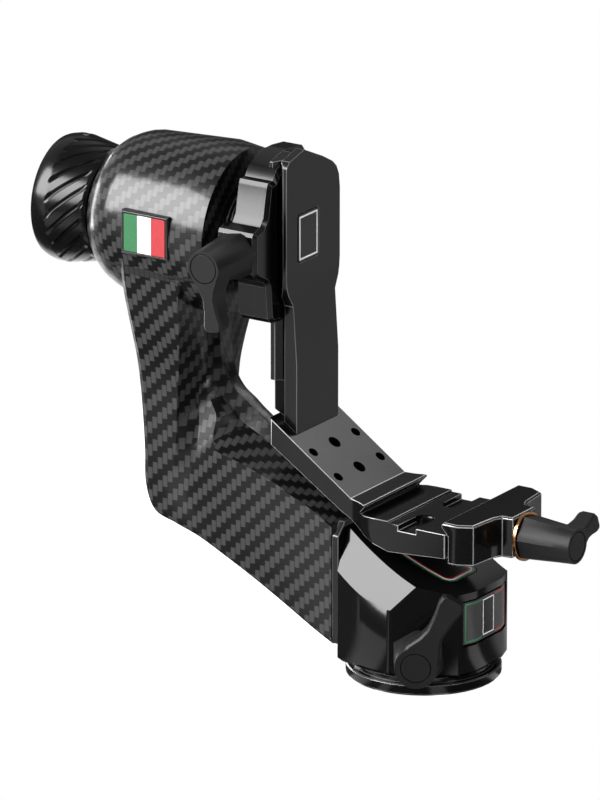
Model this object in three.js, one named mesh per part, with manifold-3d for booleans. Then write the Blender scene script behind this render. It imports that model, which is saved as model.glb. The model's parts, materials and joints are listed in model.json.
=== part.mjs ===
// Gimbal tripod head: a pan base, a moulded carbon arm, a tilt axis with a drag knob, and a
// swing arm that hangs from a dovetail carriage and carries a camera clamp.
// Millimetres, +Z up. The origin is the centre of the base plate's underside, on the pan axis.
// +X runs along the tilt axis from the drag knob to the camera clamp.
import * as THREE from 'three';
import { mergeVertices } from 'three/addons/utils/BufferGeometryUtils.js';
import Module from 'manifold-3d';

const wasm = await Module();
wasm.setup();

// Driving dimensions.
const tiltAxisZ = 163.5;
const baseRadius = 30;
const baseThickness = 4.4;
const housingFloorZ = 6.7;
// The housing's plan in shares of the base radius: along X, then half width.
const planShares = {
  front: [0.9733, 0.3283],
  corner: [0.8867, 0.5867],
  flank: [0.12, 0.99],
  round: [-0.1667, 1.0133],
  rear: [-0.7733, 0.84],
};
const [housingFrontX, housingFrontHalf] = planShares.front.map((share) => share * baseRadius);
const [housingRearX, housingRearHalf] = planShares.rear.map((share) => share * baseRadius);
const collarThickness = 2.9;
const barrelRadius = 33.6;
const barrelFrontX = -80.5;
const barrelRearX = -140.6;
const boreRadius = 20.3;
const shaftRadius = 12;
const knobRearX = -165;
const knobRadius = 25.2;
const plateFrontX = -50.5;
const plateHalf = 18.8;
const armTopZ = 202;
const shankHalf = 14.7;
const railHalf = 15.2;
const railRearX = -60.6;
const cradleEndX = 25;
const cradleHalf = 22.9;
const jawOpening = 2.9;
const jawHalf = 27.4;
const clampAxisZ = 62.9;
const fit = 0.3;
const overrun = 1;
const roundSides = 28;
const wideSides = 44;
const smallSides = 16;

// Axes that shapes are extruded or turned about, as bases of a matrix.
const X = new THREE.Vector3(1, 0, 0);
const Y = new THREE.Vector3(0, 1, 0);
const Z = new THREE.Vector3(0, 0, 1);

function frameOf(first, second, third) {
  return new THREE.Matrix4().makeBasis(first, second, third);
}

// A closed mesh as a solid that can be joined and cut.
function solid(geometry) {
  const bare = geometry.clone();
  for (const name of Object.keys(bare.attributes)) {
    if (name !== 'position') bare.deleteAttribute(name);
  }
  const merged = mergeVertices(bare, 1e-3);
  const source = merged.index.array;
  const kept = [];
  for (let i = 0; i < source.length; i += 3) {
    const [a, b, c] = [source[i], source[i + 1], source[i + 2]];
    if (a !== b && b !== c && c !== a) kept.push(a, b, c);
  }
  const points = merged.attributes.position.array;
  if (signedVolume(points, kept) < 0) kept.reverse();
  const mesh = new wasm.Mesh({
    numProp: 3,
    vertProperties: new Float32Array(points),
    triVerts: new Uint32Array(kept),
  });
  return new wasm.Manifold(mesh);
}

function signedVolume(points, corners) {
  const at = (i) => new THREE.Vector3().fromArray(points, 3 * i);
  let total = 0;
  for (let i = 0; i < corners.length; i += 3) {
    total += at(corners[i]).dot(at(corners[i + 1]).cross(at(corners[i + 2]))) / 6;
  }
  return total;
}

function geometryOf(shape) {
  const mesh = shape.getMesh();
  const geometry = new THREE.BufferGeometry();
  geometry.setAttribute('position', new THREE.BufferAttribute(new Float32Array(mesh.vertProperties), 3));
  geometry.setIndex(new THREE.BufferAttribute(new Uint32Array(mesh.triVerts), 1));
  geometry.computeVertexNormals();
  return geometry;
}

function cut(shape, ...tools) {
  return tools.reduce((left, tool) => left.subtract(tool), shape);
}

function join(...shapes) {
  return shapes.reduce((whole, shape) => whole.add(shape));
}

function moved(shape, x, y, z) {
  return shape.translate([x, y, z]);
}

// An outline from corner points, mirrored across its first axis where that is asked.
function outline(points) {
  return new THREE.Shape(points.map(([a, b]) => new THREE.Vector2(a, b)));
}

function mirrored(points) {
  const other = points.filter(([, b]) => Math.abs(b) > 0).map(([a, b]) => [a, -b]).reverse();
  return points.concat(other);
}

function extruded(shape, depth, bevel, basis) {
  const geometry = new THREE.ExtrudeGeometry(shape, {
    depth: depth - 2 * bevel,
    bevelEnabled: bevel > 0,
    bevelThickness: bevel,
    bevelSize: bevel,
    bevelOffset: -bevel,
    bevelSegments: 1,
    curveSegments: 10,
  });
  geometry.translate(0, 0, bevel);
  geometry.applyMatrix4(basis);
  return solid(geometry);
}

// Outline in (y, z), from x0 to x1.
function prismX(shape, x0, x1, bevel = 0) {
  return moved(extruded(shape, x1 - x0, bevel, frameOf(Y, Z, X)), x0, 0, 0);
}

// Outline in (x, z), from y0 to y1.
function prismY(shape, y0, y1, bevel = 0) {
  return moved(extruded(shape, y1 - y0, bevel, frameOf(X, Z, Y.clone().negate())), 0, y1, 0);
}

// Outline in (x, y), from z0 to z1.
function prismZ(shape, z0, z1, bevel = 0) {
  return moved(extruded(shape, z1 - z0, bevel, frameOf(X, Y, Z)), 0, 0, z0);
}

function block(x0, x1, y0, y1, z0, z1) {
  const geometry = new THREE.BoxGeometry(x1 - x0, y1 - y0, z1 - z0);
  geometry.translate((x0 + x1) / 2, (y0 + y1) / 2, (z0 + z1) / 2);
  return solid(geometry);
}

// A profile of (radius, height) points turned about an axis through the origin.
function turned(profile, axis, sides = roundSides) {
  const points = profile.map(([radius, height]) => new THREE.Vector2(radius, height));
  const geometry = new THREE.LatheGeometry(points, sides);
  const turn = new THREE.Quaternion().setFromUnitVectors(Y, axis);
  geometry.applyQuaternion(turn);
  return solid(geometry);
}

function rod(radius, from, to, axis, sides = roundSides) {
  return turned([[0, from], [radius, from], [radius, to], [0, to]], axis, sides);
}

function ring(inner, outer, from, to, axis, sides = roundSides) {
  return turned([[inner, from], [outer, from], [outer, to], [inner, to], [inner, from]], axis, sides);
}

// A slab beyond a plane, to cut a facet.
function beyondPlane(point, normal, size) {
  const slab = new THREE.BoxGeometry(size, size, size);
  slab.translate(0, 0, size / 2);
  slab.applyQuaternion(new THREE.Quaternion().setFromUnitVectors(Z, normal));
  slab.translate(point.x, point.y, point.z);
  return solid(slab);
}

// Rings of points, each ring closed, skinned one to the next and capped at both ends.
function lofted(rings) {
  const sides = rings[0].length;
  const points = [];
  const corners = [];
  for (const ring of rings) {
    for (const point of ring) points.push(point.x, point.y, point.z);
  }
  for (let r = 0; r + 1 < rings.length; r += 1) {
    for (let s = 0; s < sides; s += 1) {
      const next = (s + 1) % sides;
      const [a, b] = [r * sides + s, r * sides + next];
      const [c, d] = [b + sides, a + sides];
      const [here, there] = [rings[r], rings[r + 1]];
      const straight = here[s].distanceTo(there[next]) < here[next].distanceTo(there[s]);
      if (straight) corners.push(a, b, c, a, c, d);
      else corners.push(a, b, d, b, c, d);
    }
  }
  for (const [index, flip] of [[0, true], [rings.length - 1, false]]) {
    const centre = rings[index].reduce((sum, point) => sum.add(point), new THREE.Vector3());
    centre.divideScalar(sides);
    const hub = points.length / 3;
    points.push(centre.x, centre.y, centre.z);
    for (let s = 0; s < sides; s += 1) {
      const [a, b] = [index * sides + s, index * sides + ((s + 1) % sides)];
      corners.push(hub, flip ? b : a, flip ? a : b);
    }
  }
  const geometry = new THREE.BufferGeometry();
  geometry.setAttribute('position', new THREE.Float32BufferAttribute(points, 3));
  geometry.setIndex(corners);
  return solid(geometry);
}

// Finishes.
const finishes = {
  anodised: { color: 0x1b1b1d, roughness: 0.35, metalness: 0.6 },
  carbon: { color: 0x2a2a2c, roughness: 0.2, metalness: 0.1 },
  moulded: { color: 0x2e2e30, roughness: 0.55, metalness: 0 },
  steel: { color: 0x9a9a9c, roughness: 0.3, metalness: 1 },
  brass: { color: 0xb58a3c, roughness: 0.3, metalness: 1 },
  badge: { color: 0x3a3a3c, roughness: 0.5, metalness: 0.1 },
  flag: { color: 0xffffff, roughness: 0.4, metalness: 0 },
};

const head = new THREE.Group();

function addPart(parent, name, shape, finish) {
  const material = new THREE.MeshStandardMaterial(finishes[finish]);
  const mesh = new THREE.Mesh(geometryOf(shape), material);
  mesh.name = name;
  parent.add(mesh);
  return mesh;
}

// Base plate: a turned disc with a raised neck, bored for the thread insert and three screws.
const base = {
  chamfer: 0.8,
  neckStep: 2.6,
  neckTopZ: 6.3,
  boreRadius: 8.2,
  screwCircle: 13.5,
  screwRadius: 1.9,
  screwHeadRadius: 3.6,
  screwHeadHeight: 2.4,
  screwSink: 0.6,
  screwCount: 3,
};

function atScrewCircle(shape, index, lift) {
  const angle = (index * 2 * Math.PI) / base.screwCount;
  return moved(shape, base.screwCircle * Math.cos(angle), base.screwCircle * Math.sin(angle), lift);
}

function basePlate() {
  const edge = base.chamfer;
  const body = turned([
    [base.boreRadius, 0],
    [baseRadius - edge, 0],
    [baseRadius, edge],
    [baseRadius, baseThickness - edge / 2],
    [baseRadius - edge / 2, baseThickness],
    [baseRadius - base.neckStep, baseThickness],
    [baseRadius - base.neckStep, base.neckTopZ],
    [base.boreRadius, base.neckTopZ],
    [base.boreRadius, 0],
  ], Z, wideSides);
  const holes = [];
  for (let i = 0; i < base.screwCount; i += 1) {
    const shaft = rod(base.screwRadius + fit, -overrun, base.neckTopZ + overrun, Z, smallSides);
    const sunk = base.screwSink + base.screwHeadHeight;
    const headroom = rod(base.screwHeadRadius + fit, -overrun, sunk, Z, smallSides);
    holes.push(atScrewCircle(join(shaft, headroom), i, 0));
  }
  return cut(body, ...holes);
}

// Pan spindle: carries both bearings and the nut, with a foot that the three screws pull down.
const spindle = {
  radius: 8.7,
  footRadius: 17.2,
  footTopZ: 20.2,
  topZ: 34.6,
  insertRadius: 7.6,
  threadRadius: 4.1,
  insertTopZ: 8.4,
  screwDepth: 2.6,
  bearingOuter: 16.6,
  bearingHeight: 5,
  spacer: 0.8,
  nutRadius: 12.4,
  nutHeight: 3.4,
};
const footBottomZ = base.neckTopZ + fit;
const lowerBearingZ = spindle.footTopZ + fit;
const upperBearingZ = lowerBearingZ + spindle.bearingHeight + spindle.spacer;
const nutZ = upperBearingZ + spindle.bearingHeight + fit;

function panSpindle() {
  const body = turned([
    [0, spindle.insertTopZ + fit],
    [spindle.insertRadius + fit, spindle.insertTopZ + fit],
    [spindle.insertRadius + fit, footBottomZ],
    [spindle.footRadius, footBottomZ],
    [spindle.footRadius, spindle.footTopZ],
    [spindle.radius, spindle.footTopZ],
    [spindle.radius, spindle.topZ],
    [0, spindle.topZ],
  ], Z);
  const holes = [];
  for (let i = 0; i < base.screwCount; i += 1) {
    const tap = rod(base.screwRadius + fit, -overrun, footBottomZ + spindle.screwDepth - fit, Z, smallSides);
    holes.push(atScrewCircle(tap, i, 0));
  }
  return cut(body, ...holes);
}

function baseScrew(index) {
  const topZ = base.screwSink + base.screwHeadHeight - fit;
  const tipZ = footBottomZ + spindle.screwDepth - 2 * fit;
  const screwHead = rod(base.screwHeadRadius, base.screwSink, topZ, Z, smallSides);
  const shank = rod(base.screwRadius, base.screwSink + fit, tipZ, Z, smallSides);
  return atScrewCircle(join(screwHead, shank), index, 0);
}

function bearing(inner, outer, from, to, axis) {
  const chamfer = (outer - inner) / 12;
  return turned([
    [inner, from],
    [outer - chamfer, from],
    [outer, from + chamfer],
    [outer, to - chamfer],
    [outer - chamfer, to],
    [inner, to],
    [inner, from],
  ], axis);
}

addPart(head, 'base_plate', basePlate(), 'anodised');
addPart(head, 'tripod_insert',
  ring(spindle.threadRadius, spindle.insertRadius, fit, spindle.insertTopZ, Z), 'steel');
addPart(head, 'pan_spindle', panSpindle(), 'steel');
for (let i = 0; i < base.screwCount; i += 1) {
  addPart(head, `base_screw_${i + 1}`, baseScrew(i), 'steel');
}
addPart(head, 'lower_pan_bearing', bearing(spindle.radius + fit / 2, spindle.bearingOuter,
  lowerBearingZ, lowerBearingZ + spindle.bearingHeight, Z), 'steel');
addPart(head, 'upper_pan_bearing', bearing(spindle.radius + fit / 2, spindle.bearingOuter,
  upperBearingZ, upperBearingZ + spindle.bearingHeight, Z), 'steel');
addPart(head, 'spindle_nut', rod(spindle.nutRadius, nutZ, nutZ + spindle.nutHeight, Z, 6)
  .subtract(rod(spindle.radius + fit / 2, nutZ - overrun, nutZ + spindle.nutHeight + overrun, Z)), 'steel');

// Pan housing: a faceted plan with rounded flanks under a saddle that sweeps up to the arm.
const housing = {
  frontHalf: housingFrontHalf,
  cornerX: planShares.corner[0] * baseRadius,
  cornerHalf: planShares.corner[1] * baseRadius,
  flankX: planShares.flank[0] * baseRadius,
  flankHalf: planShares.flank[1] * baseRadius,
  roundX: planShares.round[0] * baseRadius,
  roundHalf: planShares.round[1] * baseRadius,
  rearHalf: housingRearHalf,
  frontTopZ: 40.2,
  dipX: 0.2667 * baseRadius,
  dipZ: 41.2,
  rearTopZ: 59.2,
  skirt: 1.6,
  rim: 1.8,
  facetZ: 33.7,
  facetTilt: 0.47,
  recessDepth: 1.1,
  recessBottomZ: 18.8,
  recessTopZ: 37.4,
  recessHalf: 0.52 * baseRadius,
};
const badge = { thickness: 0.7, margin: 0.8 };
const topTrim = {
  frontX: 0.633 * baseRadius,
  rearX: -0.467 * baseRadius,
  half: 10.6,
  corner: 4,
  thickness: 0.9,
};

function housingPlan() {
  const plan = new THREE.Shape();
  plan.moveTo(housingFrontX, housing.frontHalf);
  plan.lineTo(housing.cornerX, housing.cornerHalf);
  plan.lineTo(housing.flankX, housing.flankHalf);
  plan.quadraticCurveTo(housing.roundX, housing.roundHalf, housingRearX, housing.rearHalf);
  plan.lineTo(housingRearX, -housing.rearHalf);
  plan.quadraticCurveTo(housing.roundX, -housing.roundHalf, housing.flankX, -housing.flankHalf);
  plan.lineTo(housing.cornerX, -housing.cornerHalf);
  plan.lineTo(housingFrontX, -housing.frontHalf);
  return plan;
}

function saddlePoint(share) {
  const rest = 1 - share;
  const x = rest * rest * housingFrontX + 2 * rest * share * housing.dipX + share * share * housingRearX;
  const z = rest * rest * housing.frontTopZ + 2 * rest * share * housing.dipZ
    + share * share * housing.rearTopZ;
  return [x, z];
}

// The saddle's outline in (x, z), lifted by some height and closed below or above.
function saddleCurve(lift, steps = 18) {
  const points = [[housingFrontX + overrun, housing.frontTopZ + lift]];
  for (let i = 0; i <= steps; i += 1) {
    const [x, z] = saddlePoint(i / steps);
    points.push([x, z + lift]);
  }
  points.push([housingRearX - overrun, housing.rearTopZ + lift]);
  return points;
}

function underSaddle(lift, half) {
  const curve = saddleCurve(lift);
  const floor = [[housingRearX - overrun, -overrun], [housingFrontX + overrun, -overrun]];
  return prismY(outline(curve.concat(floor)), -half, half);
}

function trimOutline(grow) {
  const { frontX, rearX, half, corner } = topTrim;
  return outline(mirrored([
    [rearX - grow, half + grow],
    [frontX + grow - corner, half + grow],
    [frontX + grow - corner / 3, half + grow - corner / 3],
    [frontX + grow, half + grow - corner],
  ]));
}

function recessInner() {
  const slope = (housing.cornerHalf - housing.frontHalf) / (housingFrontX - housing.cornerX);
  const depth = housing.recessDepth;
  const edgeX = housingFrontX - (housing.recessHalf - housing.frontHalf) / slope;
  return [
    [edgeX - depth, housing.recessHalf],
    [housingFrontX - depth, housing.frontHalf - depth / slope],
    [housingFrontX - depth, -housing.frontHalf + depth / slope],
    [edgeX - depth, -housing.recessHalf],
  ];
}

function recessTool() {
  const outer = [
    [housingFrontX + overrun, -housing.recessHalf],
    [housingFrontX + overrun, housing.recessHalf],
  ];
  return prismZ(outline(recessInner().concat(outer)), housing.recessBottomZ, housing.recessTopZ);
}

function badgePlate() {
  const inner = recessInner();
  const shift = (grow) => inner.map(([x, y]) => {
    const scale = (housing.recessHalf - badge.margin) / housing.recessHalf;
    return [x + grow, y * scale];
  });
  const back = shift(fit);
  const front = shift(fit + badge.thickness).reverse();
  return prismZ(outline(back.concat(front)),
    housing.recessBottomZ + badge.margin, housing.recessTopZ - badge.margin);
}

// Pan lock: its axis leaves the lever facet squarely.
const panLock = {
  z: 15.7,
  boreRadius: 2.6,
  screwRadius: 2.3,
  shoeRadius: 4.2,
  shoeLength: 3,
  leverLength: 14.5,
};
const facetRun = housing.cornerX - housing.flankX;
const facetDrop = housing.flankHalf - housing.cornerHalf;
const panLockAxis = new THREE.Vector3(facetDrop, -facetRun, 0).normalize();
const panLockShare = 0.42;
const panLockRoot = new THREE.Vector3(
  housing.flankX + panLockShare * facetRun,
  -(housing.flankHalf - panLockShare * facetDrop),
  panLock.z,
);

function alongPanLock(shape) {
  const turn = new THREE.Quaternion().setFromUnitVectors(Z, panLockAxis);
  const matrix = new THREE.Matrix4().compose(panLockRoot, turn, new THREE.Vector3(1, 1, 1));
  return shape.transform(matrix.toArray());
}

const panBoreDepth = panLockRoot.clone().setZ(0).length() - spindle.footRadius - fit;

function baseHousing() {
  const plan = extruded(housingPlan(), housing.rearTopZ + 3 * housing.rim, housing.skirt, frameOf(X, Y, Z));
  const blank = moved(plan, 0, 0, housingFloorZ);
  const shaped = blank.intersect(underSaddle(0, 2 * baseRadius));
  const normal = new THREE.Vector3(0, -1, housing.facetTilt).normalize();
  const point = new THREE.Vector3(housing.flankX, -housing.flankHalf, housing.facetZ);
  const nearFacet = beyondPlane(point, normal, 2 * baseRadius);
  const farFacet = nearFacet.mirror([0, 1, 0]);
  const bearingBore = rod(spindle.bearingOuter + fit / 2, -overrun,
    upperBearingZ + spindle.bearingHeight + fit, Z);
  const footBore = rod(spindle.footRadius + fit, -overrun, spindle.footTopZ + fit, Z);
  const nutBore = rod(spindle.nutRadius + 2 * fit, -overrun, nutZ + spindle.nutHeight + fit, Z);
  const trimSeat = prismZ(trimOutline(fit), -overrun, housing.rearTopZ + overrun)
    .subtract(underSaddle(-topTrim.thickness - fit, 2 * baseRadius));
  const lockBore = alongPanLock(rod(panLock.boreRadius, -panBoreDepth - overrun, overrun, Z, smallSides));
  const shoeBore = alongPanLock(rod(panLock.shoeRadius + fit, -panBoreDepth - overrun,
    -panBoreDepth + panLock.shoeLength + 3 * fit, Z, roundSides));
  return cut(shaped, nearFacet, farFacet, bearingBore, footBore, nutBore, trimSeat, recessTool(),
    lockBore, shoeBore);
}

function topTrimPlate() {
  const slab = underSaddle(0, 2 * baseRadius).subtract(underSaddle(-topTrim.thickness, 2 * baseRadius));
  return slab.intersect(prismZ(trimOutline(0), 0, housing.rearTopZ + overrun));
}

const panHead = new THREE.Group();
head.add(panHead);
addPart(panHead, 'base_housing', baseHousing(), 'anodised');
addPart(panHead, 'front_badge_plate', badgePlate(), 'badge');
addPart(panHead, 'top_trim_plate', topTrimPlate(), 'anodised');

// A clamp lever: a hexagonal root that narrows to a round face, with an arm that leaves the
// face sideways, narrows to a waist and flares to its tip. Local Z runs out of the root.
const lever = {
  capRadius: 5.6,
  capDepth: 1.2,
  bevel: 0.9,
  stubDepth: 4,
};
// Along the arm: reach as a share of its length, half width as a share of the face radius, and
// depth as a share of the arm's thickness.
const leverShares = [
  [0, 0.94, 1.25], [0.2, 0.86, 1.2], [0.36, 0.56, 1.1], [0.5, 0.42, 1.02], [0.7, 0.47, 0.9],
  [0.88, 0.6, 0.84], [0.97, 0.56, 0.74], [1, 0.42, 0.62],
];

function leverBody(spec) {
  const sides = roundSides;
  const rings = [];
  const hexShares = [0, 0.35, 0.7, 1];
  for (const share of hexShares) {
    const ringPoints = [];
    const radius = spec.rootRadius + (spec.faceRadius - spec.rootRadius) * share;
    for (let i = 0; i < sides; i += 1) {
      const angle = (2 * Math.PI * i) / sides;
      const sector = (angle + Math.PI / 6) % (Math.PI / 3) - Math.PI / 6;
      const hexagon = Math.cos(Math.PI / 6) / Math.cos(sector);
      const here = radius * (hexagon * (1 - share) + share);
      const [across, up] = [here * Math.cos(angle), here * Math.sin(angle)];
      ringPoints.push(new THREE.Vector3(across, up, spec.length * share));
    }
    rings.push(ringPoints);
  }
  const hub = lofted(rings);
  const blade = lofted(leverShares.map(([reach, width, depth]) => {
    const half = width * spec.faceRadius;
    const back = spec.length - depth * spec.armThickness;
    const bevel = lever.bevel;
    return [
      [-half, back + bevel], [-half, spec.length - bevel], [-half + bevel, spec.length],
      [half - bevel, spec.length], [half, spec.length - bevel], [half, back + bevel],
      [half - bevel, back], [-half + bevel, back],
    ].map(([y, z]) => new THREE.Vector3(reach * spec.armLength, y, z));
  }));
  const pocketBottom = spec.length - lever.capDepth;
  const pocket = rod(lever.capRadius + fit, pocketBottom, spec.length + overrun, Z, roundSides);
  const socket = rod(spec.stubRadius + fit, -overrun, lever.stubDepth, Z, smallSides);
  return cut(join(hub, blade), pocket, socket);
}

function leverCap(spec) {
  return rod(lever.capRadius, spec.length - lever.capDepth + fit, spec.length, Z, roundSides);
}

function placeLever(parent, prefix, spec, root, axis, armAngle) {
  const holder = new THREE.Group();
  holder.position.copy(root);
  const upright = new THREE.Vector3().crossVectors(Z, axis).normalize();
  const basis = frameOf(upright, Z, axis);
  holder.setRotationFromMatrix(basis);
  const turn = new THREE.Group();
  turn.rotation.z = armAngle;
  holder.add(turn);
  parent.add(holder);
  addPart(turn, spec.leverName, leverBody(spec), 'moulded');
  addPart(turn, `${prefix}_lever_cap`, leverCap(spec), 'moulded');
}

const panLever = {
  leverName: 'pan_lock_lever',
  length: panLock.leverLength,
  rootRadius: 11,
  faceRadius: 8.2,
  armLength: 31,
  armThickness: 8,
  stubRadius: panLock.screwRadius,
};
const panLeverAngle = THREE.MathUtils.degToRad(62);
placeLever(panHead, 'pan', panLever, panLockRoot.clone().addScaledVector(panLockAxis, fit),
  panLockAxis, panLeverAngle);
addPart(panHead, 'pan_lock_screw',
  alongPanLock(rod(panLock.screwRadius, -panBoreDepth + panLock.shoeLength + fit,
    lever.stubDepth - fit, Z, smallSides)), 'steel');
addPart(panHead, 'pan_brake_shoe',
  alongPanLock(rod(panLock.shoeRadius, -panBoreDepth, -panBoreDepth + panLock.shoeLength, Z, roundSides)),
  'brass');

// Arm collar and the moulded carbon arm. Each ring of the arm runs from the outer curve to the
// inner curve; both are shares of the reach behind the pan axis and of the tilt axis height.
const legRearX = -121;
const arm = { endX: housingRearX - 2 * fit - collarThickness, collarRound: 2.4 };
const armRun = arm.endX - legRearX;
// Points of the two curves: how far back along the run, and the height as a share of the axis.
const outerShares = [
  [1, 0.985], [0.997, 0.862], [0.979, 0.775], [0.966, 0.685], [0.957, 0.612], [0.949, 0.538],
  [0.942, 0.453], [0.938, 0.368], [0.893, 0.306], [0.786, 0.284], [0.666, 0.263], [0.533, 0.23],
  [0.384, 0.19], [0.23, 0.143], [0.102, 0.102], [0, 0.072],
];
const innerShares = [
  [0.666, 0.985], [0.674, 0.862], [0.678, 0.775], [0.671, 0.685], [0.646, 0.639], [0.603, 0.606],
  [0.549, 0.585], [0.507, 0.566], [0.464, 0.549], [0.417, 0.528], [0.343, 0.498], [0.252, 0.467],
  [0.168, 0.435], [0.088, 0.41], [0.04, 0.391], [0, 0.3755],
];
// Half widths as shares of the barrel radius: the outer edge, the near plane's crease, the
// valley, the upper crease, the foot of the spine and its top.
const widthShares = [
  [0.958, 0.958, 0.506, 0.357, 0.24, 0.12], [0.854, 0.854, 0.506, 0.357, 0.24, 0.12],
  [0.79, 0.789, 0.461, 0.33, 0.238, 0.12], [0.695, 0.69, 0.402, 0.3, 0.223, 0.12],
  [0.66, 0.655, 0.372, 0.283, 0.208, 0.105], [0.647, 0.643, 0.372, 0.327, 0.193, 0.095],
  [0.643, 0.64, 0.446, 0.387, 0.178, 0.09], [0.643, 0.64, 0.542, 0.506, 0.178, 0.09],
  [0.646, 0.643, 0.604, 0.64, 0.18, 0.09], [0.652, 0.65, 0.637, 0.655, 0.184, 0.09],
  [0.662, 0.661, 0.661, 0.667, 0.208, 0.104], [0.68, 0.68, 0.682, 0.685, 0.27, 0.12],
  [0.696, 0.696, 0.698, 0.7, 0.357, 0.18], [0.708, 0.708, 0.71, 0.711, 0.446, 0.3],
  [0.716, 0.716, 0.717, 0.717, 0.536, 0.42], [0.72, 0.72, 0.72, 0.72, 0.595, 0.476],
];
// How far across the ring, from the outer curve to the inner one, each of the first five lies.
const acrossShares = [
  [0.1, 0.933, 0.975, 0.98, 0.985], [0.1, 0.889, 0.895, 0.9, 0.91], [0.1, 0.854, 0.907, 0.915, 0.93],
  [0.1, 0.749, 0.872, 0.885, 0.91], [0.095, 0.634, 0.763, 0.8, 0.86], [0.085, 0.525, 0.65, 0.78, 0.86],
  [0.08, 0.435, 0.6, 0.78, 0.87], [0.075, 0.363, 0.56, 0.73, 0.875], [0.07, 0.22, 0.415, 0.753, 0.9],
  [0.065, 0.13, 0.27, 0.797, 0.92], [0.06, 0.11, 0.25, 0.85, 0.94], [0.055, 0.11, 0.25, 0.9, 0.955],
  [0.05, 0.11, 0.25, 0.93, 0.97], [0.05, 0.11, 0.25, 0.955, 0.98], [0.05, 0.11, 0.25, 0.965, 0.985],
  [0.05, 0.11, 0.25, 0.97, 0.99],
];

function curveOf(shares) {
  return new THREE.CatmullRomCurve3(shares.map(([back, height]) => (
    new THREE.Vector3(arm.endX - back * armRun, 0, height * tiltAxisZ))));
}

function blended(rows, share) {
  const place = share * (rows.length - 1);
  const low = Math.min(Math.floor(place), rows.length - 2);
  const t = place - low;
  const at = (index) => rows[Math.max(0, Math.min(rows.length - 1, index))];
  const [a, b, c, d] = [at(low - 1), at(low), at(low + 1), at(low + 2)];
  return b.map((value, i) => value + 0.5 * t * (c[i] - a[i]
    + t * (2 * a[i] - 5 * value + 4 * c[i] - d[i] + t * (3 * (value - c[i]) + d[i] - a[i]))));
}

function armRing(outer, inner, widths, across) {
  const [edge, crease, valley, ridge, foot, top] = widths.map((share) => share * barrelRadius);
  const [edgeAt, creaseAt, valleyAt, ridgeAt, footAt] = across;
  const half = [
    [0, 0], [0, edge * 0.5], [0.004, edge * 0.82], [edgeAt * 0.3, edge * 0.95], [edgeAt, edge],
    [(edgeAt + creaseAt) / 2, (edge + crease) / 2], [creaseAt, crease],
    [(creaseAt + valleyAt) / 2, (crease + valley) / 2], [valleyAt, valley],
    [(valleyAt + ridgeAt) / 2, (valley + ridge) / 2], [ridgeAt, ridge], [footAt, foot],
    [0.994, top], [1, top * 0.5], [1, 0],
  ];
  const full = mirrored(half);
  return full.map(([at, width]) => outer.clone().lerp(inner, at).add(new THREE.Vector3(0, -width, 0)));
}

// The curves are walked by their table rows, so that each row's widths meet its own points.
function armShell() {
  const outerCurve = curveOf(outerShares);
  const innerCurve = curveOf(innerShares);
  const steps = 26;
  const rings = [];
  for (let i = 0; i <= steps; i += 1) {
    const share = i / steps;
    rings.push(armRing(outerCurve.getPoint(share), innerCurve.getPoint(share),
      blended(widthShares, share), blended(acrossShares, share)));
  }
  return lofted(rings);
}

// Barrel: turned about the tilt axis, flaring to a crease and then narrowing to its front rim.
const barrel = {
  creaseX: -91.5,
  frontRim: 32.2,
  throatX: -124,
  throat: 32.1,
};
// The rounded rear end: how far each point lies ahead of the rim, and its share of the throat.
const barrelRearShares = [[0, 0.66], [1.8, 0.74], [4.2, 0.825], [7.2, 0.895], [10.8, 0.95], [13.6, 0.982]];

function atTiltAxis(shape) {
  return moved(shape, 0, 0, tiltAxisZ);
}

function barrelBlank() {
  const rear = barrelRearShares.map(([ahead, share]) => [share * barrel.throat, barrelRearX + ahead]);
  return atTiltAxis(turned([
    [0, barrelRearX],
    ...rear,
    [barrel.throat, barrel.throatX],
    [barrelRadius, barrel.creaseX],
    [barrel.frontRim, barrelFrontX],
    [0, barrelFrontX],
  ], X, wideSides));
}

function carbonArm() {
  const bore = atTiltAxis(rod(boreRadius, barrelRearX - overrun, barrelFrontX + overrun, X));
  return cut(join(barrelBlank(), armShell()), bore);
}

function armCollar() {
  const half = 0.72 * barrelRadius;
  const top = innerShares.at(-1)[1] * tiltAxisZ;
  const bottom = outerShares.at(-1)[1] * tiltAxisZ;
  const round = arm.collarRound;
  const section = outline(mirrored([
    [bottom, 0.84 * half],
    [bottom + round / 2, half - round / 4],
    [bottom + 2 * round, half],
    [top - 2 * round, half],
    [top, 0.8 * half],
  ].map(([z, y]) => [z, y])).map(([z, y]) => [y, z]));
  return prismX(section, arm.endX + fit, housingRearX - fit);
}

addPart(panHead, 'arm_collar', armCollar(), 'anodised');
addPart(panHead, 'carbon_arm', carbonArm(), 'carbon');

// Flag plate in its frame, on the barrel's near side.
const flagProud = 0.5;
const flag = {
  x: -105.5,
  z: tiltAxisZ + 2.2,
  length: 21.4,
  height: 17.4,
  outerY: -barrelRadius - flagProud,
  depth: 5,
  rim: 1,
  thickness: 0.7,
};

function flagFrame() {
  const { x, z, length, height, outerY, depth } = flag;
  const slab = prismY(outline([
    [x - length / 2, z - height / 2],
    [x + length / 2, z - height / 2],
    [x + length / 2, z + height / 2],
    [x - length / 2, z + height / 2],
  ]), outerY, outerY + depth, 0.5 * flag.rim);
  const pocket = block(x - length / 2 + flag.rim, x + length / 2 - flag.rim, outerY - overrun,
    outerY + flag.thickness + fit, z - height / 2 + flag.rim, z + height / 2 - flag.rim);
  const seat = barrelBlank().add(atTiltAxis(ring(0, barrelRadius, barrelRearX / 2, barrelFrontX / 2, X)));
  const grown = moved(seat, 0, -fit, 0);
  return cut(slab, pocket, grown);
}

function flagPlate() {
  const { x, z, length, height, outerY } = flag;
  const margin = flag.rim + fit;
  return block(x - length / 2 + margin, x + length / 2 - margin, outerY, outerY + flag.thickness,
    z - height / 2 + margin, z + height / 2 - margin);
}

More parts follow.
